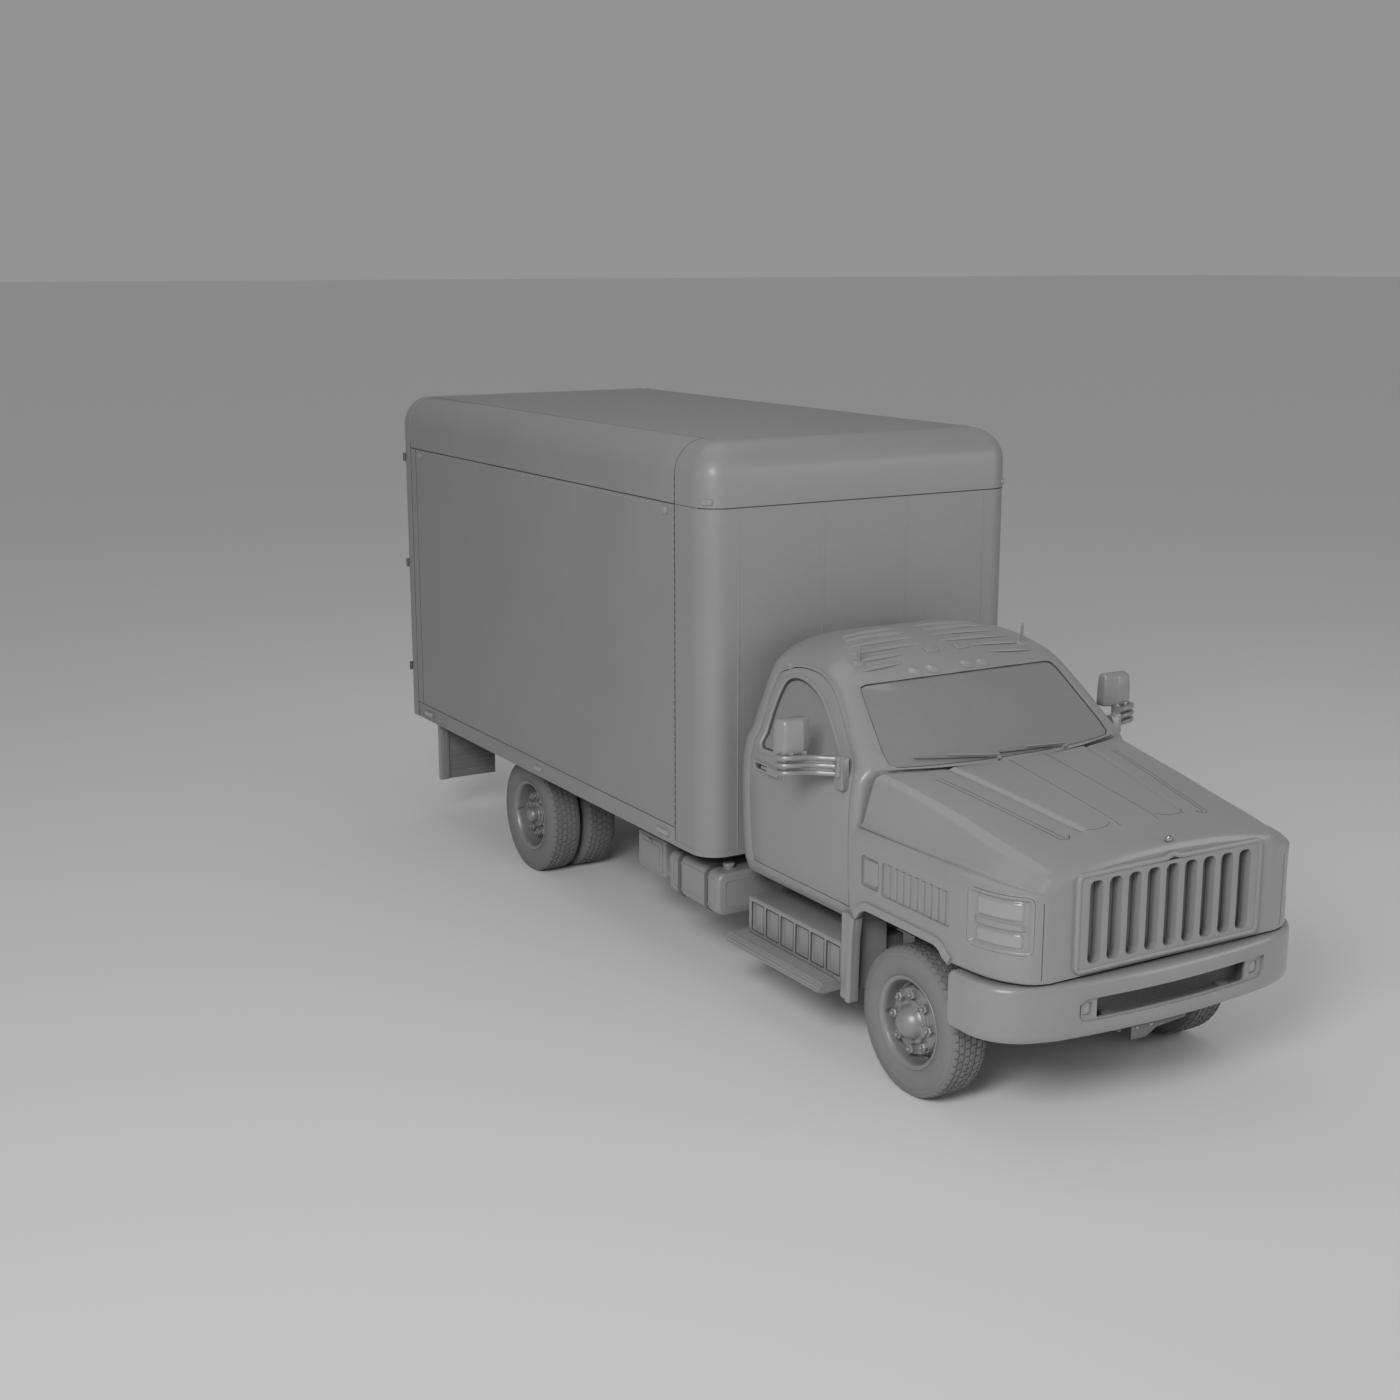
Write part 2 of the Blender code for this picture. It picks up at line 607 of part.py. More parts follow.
def cab():
    """Floor, firewall, back wall and roof of the cab, with its doors and glass."""
    screen = WINDSHIELD + [(-x, z) for x, z in reversed(WINDSHIELD[1:-1])]
    shell = cab_solid("cab_shell", 0.0)
    cut(shell, cab_solid("cab_space", CAB_WALL))
    cut(shell, plate("screen", [screen], "Y", 0.0, 1.15))
    doors = []
    for name, side in (("left", 1), ("right", -1)):
        low, high = sorted((side * 0.72, side * 1.3))
        door = piece_of(shell, "door_" + name, plate("region", [shrunk(DOOR_OUTLINE, SWING)], "X", low, high))
        cut(door, plate("window", [WINDOW_OUTLINE], "X", low, high))
        glass = cab_solid("door_glass_" + name, 0.024)
        cut(glass, cab_solid("inner", 0.024 + GLASS_THICKNESS))
        combine(glass, plate("pane", [shrunk(WINDOW_OUTLINE, 0.001)], "X", low, high), "INTERSECT")
        doors += [door, glass]
    for side in (-1, 1):
        low, high = sorted((side * 0.72, side * 1.3))
        cut(shell, plate("opening", [DOOR_OUTLINE], "X", low, high))
    floor = piece_of(shell, "cab_floor", box("region", (-1.2, 0.2, 0.8), (1.2, 2.0, SILL_TOP - SEAM)))
    back = piece_of(shell, "cab_back", box("region", (-1.2, 1.5, SILL_TOP), (1.2, 2.0, BACK_WALL_TOP)))
    wall = piece_of(shell, "firewall", box("region", (-1.2, 0.2, SILL_TOP), (1.2, 0.9, BELT - SEAM)))
    roof = piece_of(shell, "cab_roof", box("region", (-1.2, 0.2, BELT), (1.2, 2.0, 2.5)),
                    [box("back", (-1.2, 1.5, 0.8), (1.2, 2.0, BACK_WALL_TOP + SEAM))])
    discard(shell)
    glass = cab_solid("windshield", GLASS_INSET)
    cut(glass, cab_solid("inner", GLASS_INSET + GLASS_THICKNESS))
    combine(glass, plate("pane", [shrunk(screen, 0.001)], "Y", 0.0, 1.15), "INTERSECT")
    return [floor, back, wall, roof, glass], doors


def dashboard():
    low = CAB_FRONT + CAB_WALL + TOUCH
    outline = [(low, 1.42), (0.80, 1.42), (0.90, 1.55), (0.90, 1.68), (0.84, 1.73), (low, 1.73)]
    return plate("dashboard", [outline], "X", -0.88, 0.88)


def seat_bench():
    floor = CAB_BOTTOM + CAB_WALL + TOUCH
    outline = [(1.08, floor), (1.62, floor), (1.62, 1.15), (1.73, 1.93), (1.61, 1.93), (1.52, 1.36),
               (1.04, 1.34), (1.02, 1.20), (1.08, 1.16)]
    return plate("seat_bench", [outline], "X", -0.82, 0.82)


def steering_wheel():
    """Rim, hub and column, in front of the left seat."""
    place = Matrix.Translation((0.42, 1.02, 1.62)) @ Matrix.Rotation(math.radians(-55), 4, "X")
    ring = [(0.215 + 0.016 * math.cos(a), 0.016 * math.sin(a))
            for a in [math.radians(60 * i) for i in range(6)]]
    wheel = turned("steering_wheel", ring, place, 20)
    hub = turned("hub", [(0.0, 0.0), (0.05, -0.005), (0.05, -0.03), (0.0, -0.03)], place, 10)
    join(wheel, hub)
    for angle in (90, 210, 330):
        direction = Vector((math.cos(math.radians(angle)), math.sin(math.radians(angle)), 0))
        join(wheel, rod("spoke", place @ (direction * 0.03 + Vector((0, 0, -0.015))),
                        place @ (direction * 0.213), 0.011, 8))
    return join(wheel, rod("column", place @ Vector((0, 0, -0.02)), place @ Vector((0, 0, -0.105)), 0.022, 10))


def mirror(name, side):
    """Mirror head on three arms, fixed to the door's front edge."""
    def across(inner, outer):
        return sorted((side * inner, side * outer))
    low, high = across(1.14, 1.36)
    head = box(name, (low, 0.80, 1.86), (high, 0.95, 2.07), 0.02)
    low, high = across(0.995 + 0.055, 1.08)
    foot = box("foot", (low, 0.64, 1.66), (high, 0.72, 1.84))
    join(head, foot)
    low, high = across(1.06, 1.34)
    for z in (1.755, 1.80, 1.845):
        outline = [(side * 1.06, 0.66), (side * 1.16, 0.76), (side * 1.34, 0.82), (side * 1.34, 0.90),
                   (side * 1.30, 0.90), (side * 1.06, 0.70)]
        join(head, plate("arm", [outline], "Z", z - 0.016, z + 0.016))
    return join(head, box("post", (across(1.22, 1.30)[0], 0.84, 1.78), (across(1.22, 1.30)[1], 0.89, 1.90)))


# Van body


def crown_ring(inset, height, wall, front, rear):
    """Plan outline of the crown: round front corners, square rear corners."""
    half = BODY_WIDTH / 2 - wall - inset
    near = front + wall + inset
    corner = max(CORNER_RADIUS - wall, 0.05) * (1 - 0.9 * inset / CROWN_RADIUS)
    right = [(0.0, near)] + arc((half - corner, near + corner), corner, -90, 0, 6) + [(half, rear), (0.0, rear)]
    ring = right + [(-x, y) for x, y in reversed(right[1:-1])]
    return [(x, y, height) for x, y in ring]


def crown_solid(name, wall, low):
    rear = BODY_REAR - REAR_FRAME_DEPTH - TOUCH + (0.1 if wall else 0.0)
    rings = [crown_ring(0.0, low, wall, BODY_FRONT, rear)]
    steps = 6
    for i in range(steps + 1):
        turn = math.radians(90 * i / steps)
        inset = CROWN_RADIUS * (1 - math.cos(turn)) * 0.999
        height = BODY_TOP - wall - CROWN_RADIUS * (1 - math.sin(turn))
        rings.append(crown_ring(inset, height, wall, BODY_FRONT, rear))
    return loft(name, rings)


def cargo_roof():
    roof = crown_solid("cargo_roof", 0.0, CROWN_BOTTOM + SEAM)
    return cut(roof, crown_solid("space", WALL, CROWN_BOTTOM - 0.1))


def cargo_front():
    """Front wall with its two round corner posts."""
    half = BODY_WIDTH / 2
    rear = BODY_FRONT + FRONT_CAP_LENGTH - SEAM
    inner = CORNER_RADIUS - WALL
    outer = [(half, rear)] + arc((half - CORNER_RADIUS, BODY_FRONT + CORNER_RADIUS), CORNER_RADIUS, 0, -90, 6)
    inside = [(half - WALL, rear)]
    inside += arc((half - CORNER_RADIUS, BODY_FRONT + CORNER_RADIUS), inner, 0, -90, 6)
    right = outer + [(-x, y) for x, y in reversed(outer)]
    left = inside + [(-x, y) for x, y in reversed(inside)]
    return plate("cargo_front", [right + left[::-1]], "Z", BODY_BOTTOM, CROWN_BOTTOM)


def cargo_side(name, side):
    low, high = sorted((side * (BODY_WIDTH / 2 - WALL), side * BODY_WIDTH / 2))
    y0 = BODY_FRONT + FRONT_CAP_LENGTH
    y1 = BODY_REAR - REAR_FRAME_DEPTH - TOUCH
    return box(name, (low, y0, LOWER_RAIL_TOP + TOUCH), (high, y1, CROWN_BOTTOM))


def cargo_floor():
    """Deck on cross sills, with the lower side rails."""
    y0 = BODY_FRONT + WALL + TOUCH
    y1 = BODY_REAR - REAR_FRAME_DEPTH - TOUCH
    inner = BODY_WIDTH / 2 - WALL - TOUCH
    corner = CORNER_RADIUS
    rail_start = BODY_FRONT + FRONT_CAP_LENGTH + TOUCH
    outline = [(inner, y1), (inner, y0 + corner), (inner - corner, y0), (-inner + corner, y0),
               (-inner, y0 + corner), (-inner, y1)]
    deck = plate("cargo_floor", [outline], "Z", DECK_TOP - DECK_THICKNESS, DECK_TOP)
    for side in (-1, 1):
        low, high = sorted((side * (inner - 0.01), side * BODY_WIDTH / 2))
        join(deck, box("rail", (low, rail_start, BODY_BOTTOM), (high, y1, LOWER_RAIL_TOP)))
    count = 8
    for i in range(count):
        y = rail_start + 0.25 + (y1 - rail_start - 0.45) * i / (count - 1)
        join(deck, box("sill", (-inner, y - 0.03, BODY_BOTTOM + 0.01), (inner, y + 0.03, DECK_TOP - 0.02)))
    return deck


def long_sill(name, side):
    """Spacer between a frame rail and the deck's cross sills."""
    x = side * RAIL_HALF_SPACING
    return box(name, (x - RAIL_WIDTH / 2, BODY_FRONT + 0.09, RAIL_TOP + TOUCH),
               (x + RAIL_WIDTH / 2, BODY_REAR - REAR_FRAME_DEPTH - TOUCH, BODY_BOTTOM + 0.01 - TOUCH))


def rear_frame():
    """Portal round the rear doors."""
    half = BODY_WIDTH / 2
    radius = CROWN_RADIUS
    top = arc((half - radius, BODY_TOP - radius), radius, 0, 90, 6)
    outline = [(half, BODY_BOTTOM)] + top + [(-x, z) for x, z in reversed(top)] + [(-half, BODY_BOTTOM)]
    opening = [(-DOOR_OPENING_HALF, DECK_TOP), (DOOR_OPENING_HALF, DECK_TOP),
               (DOOR_OPENING_HALF, DOOR_OPENING_TOP), (-DOOR_OPENING_HALF, DOOR_OPENING_TOP)]
    return plate("rear_frame", [outline, opening], "Y", BODY_REAR - REAR_FRAME_DEPTH, BODY_REAR)


def cargo_door(name, side):
    """One leaf with its two hinge straps and the lock rod."""
    low, high = sorted((side * SWING, side * (DOOR_OPENING_HALF - SWING)))
    rear = BODY_REAR - 0.003
    bottom, top = DECK_TOP + SWING, DOOR_OPENING_TOP - SWING
    leaf = box(name, (low, rear - CARGO_DOOR_THICKNESS, bottom), (high, rear, top))
    knuckle_x = side * (BODY_WIDTH / 2 + 0.004)
    knuckle_y = BODY_REAR + 0.021
    for z in (bottom + 0.25, (bottom + top) / 2, top - 0.25):
        x0, x1 = sorted((side * 0.95, knuckle_x))
        join(leaf, box("strap", (x0, rear - 0.002, z - 0.03), (x1, BODY_REAR + 0.013, z + 0.03)))
        cut(leaf, box("relief", (side * (DOOR_OPENING_HALF + 0.05) - 0.06, rear - 0.01, z - 0.04),
                      (side * (DOOR_OPENING_HALF + 0.05) + 0.07, BODY_REAR + 0.006, z + 0.04)))
        join(leaf, rod("knuckle", (knuckle_x, knuckle_y, z - 0.03), (knuckle_x, knuckle_y, z + 0.03), 0.013, 8))
    x = side * 0.16
    join(leaf, rod("lock", (x, BODY_REAR + 0.012, bottom + 0.02), (x, BODY_REAR + 0.012, top - 0.02), 0.016, 8))
    return leaf


# Materials: base colour, roughness, metallic
FINISHES = {"body_paint": ((0.20, 0.20, 0.20), 0.45, 0.0), "panel_grey": ((0.18, 0.18, 0.18), 0.5, 0.0),
            "dark_metal": ((0.10, 0.10, 0.10), 0.55, 0.3), "tyre_rubber": ((0.15, 0.15, 0.15), 0.75, 0.0),
            "wheel_metal": ((0.22, 0.22, 0.22), 0.35, 0.4), "grey_glass": ((0.17, 0.17, 0.17), 0.25, 0.0),
            "cab_trim": ((0.12, 0.12, 0.12), 0.7, 0.0)}
SLOTS = {"chassis_frame": "dark_metal", "front_axle": "dark_metal", "rear_axle": "dark_metal",
         "knuckle": "dark_metal", "engine_block": "dark_metal", "drive_shaft": "dark_metal",
         "tyre": "tyre_rubber", "rim": "wheel_metal", "glass": "grey_glass", "windshield": "grey_glass",
         "headlamp": "grey_glass", "cargo": "panel_grey", "rear_frame": "panel_grey",
         "dashboard": "cab_trim", "seat": "cab_trim", "steering_wheel": "cab_trim",
         "mud_flap": "tyre_rubber", "equipment_box": "dark_metal"}


def paint(obj):
    slot = next((slot for word, slot in SLOTS.items() if word in obj.name), "body_paint")
    colour, roughness, metallic = FINISHES[slot]
    material = bpy.data.materials.new(obj.name + "_" + slot)
    material.use_nodes = True
    shader = material.node_tree.nodes["Principled BSDF"]
    shader.inputs["Base Color"].default_value = (*colour, 1.0)
    shader.inputs["Roughness"].default_value = roughness
    shader.inputs["Metallic"].default_value = metallic
    obj.data.materials.clear()
    obj.data.materials.append(material)
    obj.data.shade_smooth()
    obj.data.set_sharp_from_angle(angle=math.radians(35))


def build():
    clear_scene()
    root = bpy.data.objects.new("truck_origin", None)
    parts.objects.link(root)
    root.location = (0, -MIDDLE, 0)
    cab_pieces, door_pieces = cab()
    fixed = [chassis_frame(), front_axle(), rear_axle(), engine_block(), drive_shaft(), front_bumper(),
             splash_guard("splash_guard_left", 1), splash_guard("splash_guard_right", -1),
             step("step_left", 1), step("step_right", -1), fuel_tank(), equipment_box(),
             mud_flap("mud_flap_left", 1), mud_flap("mud_flap_right", -1), dashboard(), seat_bench(),
             steering_wheel(), cargo_floor(), long_sill("long_sill_left", 1),
             long_sill("long_sill_right", -1), cargo_front(), cargo_roof(),
             cargo_side("cargo_side_left", 1), cargo_side("cargo_side_right", -1), rear_frame()]
    for obj in fixed + cab_pieces:
        obj.parent = root
    pivot("hood_pivot", (0, NOSE_FRONT + 0.0, NOSE_BOTTOM), nose(), root)
    for name, side, door, glass in (("left", 1, *door_pieces[:2]), ("right", -1, *door_pieces[2:])):
        pieces = [door, glass, mirror("mirror_" + name, side)]
        pivot("door_pivot_" + name, (side * 1.035, 0.58, SILL_TOP), pieces, root)
        hinge = (side * (BODY_WIDTH / 2 + 0.004), BODY_REAR + 0.021, DECK_TOP)
        pivot("cargo_pivot_" + name, hinge, [cargo_door("cargo_door_" + name, side)], root)
        kingpin = pivot("kingpin_" + name, (side * KINGPIN_HALF, 0, TYRE_RADIUS),
                        [knuckle("knuckle_" + name, side)], root)
        x = side * FRONT_TRACK_HALF
        wheel = pivot("front_hub_" + name, (x, 0, TYRE_RADIUS),
                      [front_rim("front_rim_" + name, x, 0, side), tyre("front_tyre_" + name, x, 0, side)], root)
        wheel.parent = kingpin
        wheel.location = (x - side * KINGPIN_HALF, 0, 0)
        x = side * REAR_OUTER_HALF
        inner = x - side * DUAL_SPACING
        pivot("rear_hub_" + name, (x, WHEELBASE, TYRE_RADIUS),
              [dual_rim("rear_rim_" + name, x, WHEELBASE, side),
               tyre("rear_tyre_outer_" + name, x, WHEELBASE, side),
               tyre("rear_tyre_inner_" + name, inner, WHEELBASE, side)], root)
    for obj in parts.objects:
        if obj.type == "MESH":
            paint(obj)


build()
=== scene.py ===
import json
import math

import bmesh
import bpy
import numpy as np
from mathutils import Matrix, Vector
from mathutils.bvhtree import BVHTree

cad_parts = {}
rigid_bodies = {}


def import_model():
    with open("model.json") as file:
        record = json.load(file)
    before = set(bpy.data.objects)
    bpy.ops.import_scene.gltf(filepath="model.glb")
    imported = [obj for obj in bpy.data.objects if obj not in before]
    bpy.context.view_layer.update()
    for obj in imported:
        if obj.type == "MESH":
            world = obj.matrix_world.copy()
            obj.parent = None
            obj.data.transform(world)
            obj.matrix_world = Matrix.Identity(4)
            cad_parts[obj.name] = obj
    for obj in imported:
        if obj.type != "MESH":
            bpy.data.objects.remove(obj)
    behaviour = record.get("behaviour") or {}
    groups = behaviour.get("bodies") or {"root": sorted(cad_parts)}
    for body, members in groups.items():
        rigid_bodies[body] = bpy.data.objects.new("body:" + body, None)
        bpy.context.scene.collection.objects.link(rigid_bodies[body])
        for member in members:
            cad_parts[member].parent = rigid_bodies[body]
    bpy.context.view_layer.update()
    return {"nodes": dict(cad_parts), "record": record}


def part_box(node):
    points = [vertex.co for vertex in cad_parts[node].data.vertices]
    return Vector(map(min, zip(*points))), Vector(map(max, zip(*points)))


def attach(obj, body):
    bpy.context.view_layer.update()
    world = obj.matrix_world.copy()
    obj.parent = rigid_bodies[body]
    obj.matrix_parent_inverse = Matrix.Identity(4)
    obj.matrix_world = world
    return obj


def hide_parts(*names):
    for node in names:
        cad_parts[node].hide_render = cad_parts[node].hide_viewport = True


for thing in list(bpy.data.objects):
    bpy.data.objects.remove(thing)
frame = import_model()
record = frame["record"]
bodyOf = {node: body for body, nodes in record["behaviour"]["bodies"].items() for node in nodes}
slotOf = {part["node"]: part["material_slot"] for part in record["subparts"]}
sides = (("Left", 1), ("Right", -1))
print("frame loaded:", len(frame["nodes"]), "nodes")


def middleOf(node):
    low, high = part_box(node)
    return (low + high) / 2


# Lengths along the truck are measured from the front axle, as on a chassis drawing
frontAxle = middleOf("front_tyre_left").y
rearAxle = middleOf("rear_tyre_outer_left").y - frontAxle
wheelRadius = middleOf("front_tyre_left").z
bodyLow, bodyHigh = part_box("cargo_front")
bodyFront = bodyLow.y - frontAxle
bodyHalf = bodyHigh.x
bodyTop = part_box("cargo_roof")[1].z
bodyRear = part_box("rear_frame")[1].y - frontAxle
crownBottom = bodyHigh.z
capRear = bodyHigh.y - frontAxle
bodyBottom = bodyLow.z


# Node graphs


class Wire:
    # A socket that takes + - * / ** and adds Math nodes
    def __init__(self, graph, socket):
        self.graph = graph
        self.socket = socket

    def maths(self, operation, *values):
        return self.graph.add("ShaderNodeMath", {"operation": operation}, values)

    def __add__(self, other):
        return self.maths("ADD", self, other)

    def __radd__(self, other):
        return self.maths("ADD", other, self)

    def __sub__(self, other):
        return self.maths("SUBTRACT", self, other)

    def __rsub__(self, other):
        return self.maths("SUBTRACT", other, self)

    def __mul__(self, other):
        return self.maths("MULTIPLY", self, other)

    def __rmul__(self, other):
        return self.maths("MULTIPLY", other, self)

    def __truediv__(self, other):
        return self.maths("DIVIDE", self, other)

    def __pow__(self, other):
        return self.maths("POWER", self, other)


class Graph:
    def __init__(self, tree):
        self.tree = tree

    def plug(self, target, value):
        if isinstance(value, Wire):
            self.tree.links.new(value.socket, target)
        else:
            target.default_value = value

    def add(self, kind, settings=None, values=(), out=0):
        node = self.tree.nodes.new(kind)
        for key, value in (settings or {}).items():
            if key == "stops":
                ramp = node.color_ramp
                while len(ramp.elements) < len(value):
                    ramp.elements.new(0.5)
                for element, (place, tone) in zip(ramp.elements, value):
                    element.position = place
                    element.color = (tone, tone, tone, 1)
            else:
                setattr(node, key, value)
        pairs = values.items() if isinstance(values, dict) else enumerate(values)
        for key, value in pairs:
            self.plug(node.inputs[key], value)
        return Wire(self, node.outputs[out]) if node.outputs else None


# Finishes

finishes = {
    # base tone, roughness, metallic, coat, grain size of the bump per metre, bump depth in metres, dust
    "cabPaint": dict(tone=0.215, rough=0.36, metal=0.0, coat=0.3, grain=260, depth=0.00025, dust=0.5),
    "panelPaint": dict(tone=0.205, rough=0.44, metal=0.0, coat=0.12, grain=180, depth=0.0003, dust=0.4),
    # The roof sheet's finish is the panel paint made darker: painted shade for the roof lying darker under the lights
    "roofSkin": dict(tone=0.185, rough=0.52, metal=0.0, coat=0.05, grain=120, depth=0.0004, dust=0.2),
    "chassisPaint": dict(tone=0.105, rough=0.55, metal=0.2, coat=0.0, grain=340, depth=0.0005, dust=1.0),
    "tyreRubber": dict(tone=0.15, rough=0.78, metal=0.0, coat=0.0, grain=420, depth=0.0007, dust=1.0),
    "wheelEnamel": dict(tone=0.235, rough=0.33, metal=0.35, coat=0.1, grain=300, depth=0.0003, dust=0.8),
    "greyGlass": dict(tone=0.175, rough=0.1, metal=0.0, coat=0.6, grain=6, depth=0.0004, dust=0.2),
    "lampLens": dict(tone=0.25, rough=0.12, metal=0.1, coat=0.8, grain=90, depth=0.0003, dust=0.2),
    "cabTrim": dict(tone=0.12, rough=0.7, metal=0.0, coat=0.0, grain=700, depth=0.0006, dust=0.0),
    "seatVinyl": dict(tone=0.135, rough=0.58, metal=0.0, coat=0.05, grain=900, depth=0.0007, dust=0.0),
    # Near-black: the real colour of seams, panel lines and rubber seals, and painted shade in the radiator behind the
    # grille and in the door handle wells
    "darkSeam": dict(tone=0.045, rough=0.8, metal=0.0, coat=0.0, grain=300, depth=0.0003, dust=0.3),
    "brightTrim": dict(tone=0.33, rough=0.22, metal=0.8, coat=0.0, grain=200, depth=0.0001, dust=0.3),
}
finishOfSlot = {"body_paint": "cabPaint", "panel_grey": "panelPaint", "dark_metal": "chassisPaint",
                "tyre_rubber": "tyreRubber", "wheel_metal": "wheelEnamel", "grey_glass": "greyGlass",
                "cab_trim": "cabTrim"}
slotOfFinish = {finish: slot for slot, finish in finishOfSlot.items()}
slotOfFinish |= {"roofSkin": "panel_grey", "lampLens": "grey_glass", "darkSeam": "dark_metal",
                 "brightTrim": "wheel_metal"}


def makeFinish(name, tone, rough, metal, coat, grain, depth, dust):
    material = bpy.data.materials.new(name)
    material.use_nodes = True
    graph = Graph(material.node_tree)
    shader = material.node_tree.nodes["Principled BSDF"]
    where = graph.add("ShaderNodeTexCoord", out="Object")
    height = graph.add("ShaderNodeSeparateXYZ", {}, [where], out=2)
    broad = graph.add("ShaderNodeTexNoise", {}, {"Vector": where, "Scale": 1.7, "Detail": 4.0}, out="Fac")
    mottle = graph.add("ShaderNodeTexNoise", {}, {"Vector": where, "Scale": 23.0, "Detail": 5.0}, out="Fac")
    fine = graph.add("ShaderNodeTexNoise", {}, {"Vector": where, "Scale": grain, "Detail": 3.0}, out="Fac")
    # Road film: heaviest low down, broken up by the mottle
    low = graph.add("ShaderNodeMapRange", {"interpolation_type": "SMOOTHSTEP"},
                    {"Value": height, "From Min": 0.25, "From Max": 1.5, "To Min": 1.0, "To Max": 0.0})
    film = low * (mottle * 1.4 - 0.2) * (0.35 * dust)
    shade = (broad - 0.5) * 0.16 + (mottle - 0.5) * 0.08 + 1.0
    colour = graph.add("ShaderNodeMix", {"data_type": "RGBA", "blend_type": "MULTIPLY"},
                       {0: 1.0, 6: (tone, tone, tone, 1), 7: shade}, out=2)
    dusty = graph.add("ShaderNodeMix", {"data_type": "RGBA"},
                      {0: film, 6: colour, 7: (0.21, 0.205, 0.198, 1)}, out=2)
    graph.plug(shader.inputs["Base Color"], dusty)
    graph.plug(shader.inputs["Roughness"], (mottle - 0.5) * 0.14 + (broad - 0.5) * 0.08 + film * 0.5 + rough)
    shader.inputs["Metallic"].default_value = metal
    shader.inputs["Coat Weight"].default_value = coat
    shader.inputs["Coat Roughness"].default_value = 0.12
    bump = graph.add("ShaderNodeBump", {}, {"Strength": 0.55, "Distance": depth, "Height": fine + mottle * 0.6})
    graph.plug(shader.inputs["Normal"], bump)
    return material


looks = {name: makeFinish(name, **values) for name, values in finishes.items()}
print("finishes made:", len(looks))


# Making pieces


def shifted(bm, way):
    bmesh.ops.translate(bm, vec=way, verts=bm.verts)
    return bm


def shaped(bm, matrix):
    bmesh.ops.transform(bm, matrix=matrix, verts=bm.verts)
    return bm


def place(name, mesh, look, body="chassis", stands=(), slot=None, sharp=32):
    # Turns a mesh (or a bmesh in axle lengths) into a finished piece on a body
    if isinstance(mesh, bmesh.types.BMesh):
        shifted(mesh, (0, frontAxle, 0))
        result = bpy.data.meshes.new(name)
        mesh.to_mesh(result)
        mesh.free()
        mesh = result
    if look:
        mesh.materials.clear()
        mesh.materials.append(looks[look])
    mesh.shade_smooth()
    mesh.set_sharp_from_angle(angle=math.radians(sharp))
    obj = bpy.data.objects.new(name, mesh)
    bpy.context.scene.collection.objects.link(obj)
    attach(obj, body)
    if stands:
        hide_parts(*stands)
    return obj


def asObject(bm, name="tool"):
    mesh = bpy.data.meshes.new(name)
    bm.to_mesh(mesh)
    bm.free()
    obj = bpy.data.objects.new(name, mesh)
    bpy.context.scene.collection.objects.link(obj)
    return obj


def evaluated(obj):
    # The object's mesh with its modifiers, as a bmesh; the object goes
    graph = bpy.context.evaluated_depsgraph_get()
    mesh = bpy.data.meshes.new_from_object(obj.evaluated_get(graph))
    bpy.data.objects.remove(obj)
    bm = bmesh.new()
    bm.from_mesh(mesh)
    bpy.data.meshes.remove(mesh)
    return bm


def boolean(bm, tool, operation="DIFFERENCE"):
    body, cutter = asObject(bm), asObject(tool)
    modifier = body.modifiers.new("cut", "BOOLEAN")
    modifier.operation = operation
    modifier.object = cutter
    result = evaluated(body)
    bpy.data.objects.remove(cutter)
    return result


def rounded(bm, width, segments=2, angle=40):
    # Rounds every edge sharper than the angle
    obj = asObject(bm)
    modifier = obj.modifiers.new("round", "BEVEL")
    modifier.width = width
    modifier.segments = segments
    modifier.limit_method = "ANGLE"
    modifier.angle_limit = math.radians(angle)
    modifier.use_clamp_overlap = True
    return evaluated(obj)


def fromFrame(node):
    # Merged copy of a node's mesh, in axle lengths
    bm = bmesh.new()
    bm.from_mesh(frame["nodes"][node].data)
    bmesh.ops.remove_doubles(bm, verts=bm.verts, dist=0.00002)
    bmesh.ops.dissolve_limit(bm, angle_limit=math.radians(0.6), verts=bm.verts, edges=bm.edges)
    return shifted(bm, (0, -frontAxle, 0))


def box(low, high, radius=0.0, segments=2):
    bm = bmesh.new()
    bmesh.ops.create_cube(bm, size=1.0)
    low, high = Vector(low), Vector(high)
    bmesh.ops.scale(bm, vec=high - low, verts=bm.verts)
    shifted(bm, (low + high) / 2)
    if radius:
        bmesh.ops.bevel(bm, geom=bm.edges[:], offset=radius, segments=segments, profile=0.5,
                        affect="EDGES", clamp_overlap=True)
    return bm


def merged(*parts):
    # Several bmeshes as one, without joining their surfaces
    whole = bmesh.new()
    for part in parts:
        mesh = bpy.data.meshes.new("part")
        part.to_mesh(mesh)
        part.free()
        whole.from_mesh(mesh)
        bpy.data.meshes.remove(mesh)
    return whole


def flipped(bm):
    # The same shape on the other side of the truck
    bmesh.ops.scale(bm, vec=(-1, 1, 1), verts=bm.verts)
    bmesh.ops.reverse_faces(bm, faces=bm.faces)
    return bm


def onSide(bm, side):
    return bm if side > 0 else flipped(bm)


def arc(centre, radius, start, end, steps):
    turns = [math.radians(start + (end - start) * i / steps) for i in range(steps + 1)]
    return [(centre[0] + radius * math.cos(t), centre[1] + radius * math.sin(t)) for t in turns]


def roundRect(low, high, radius, steps=5):
    (x0, y0), (x1, y1) = low, high
    corners = [((x1 - radius, y0 + radius), -90), ((x1 - radius, y1 - radius), 0),
               ((x0 + radius, y1 - radius), 90), ((x0 + radius, y0 + radius), 180)]
    return [p for centre, turn in corners for p in arc(centre, radius, turn, turn + 90, steps)]


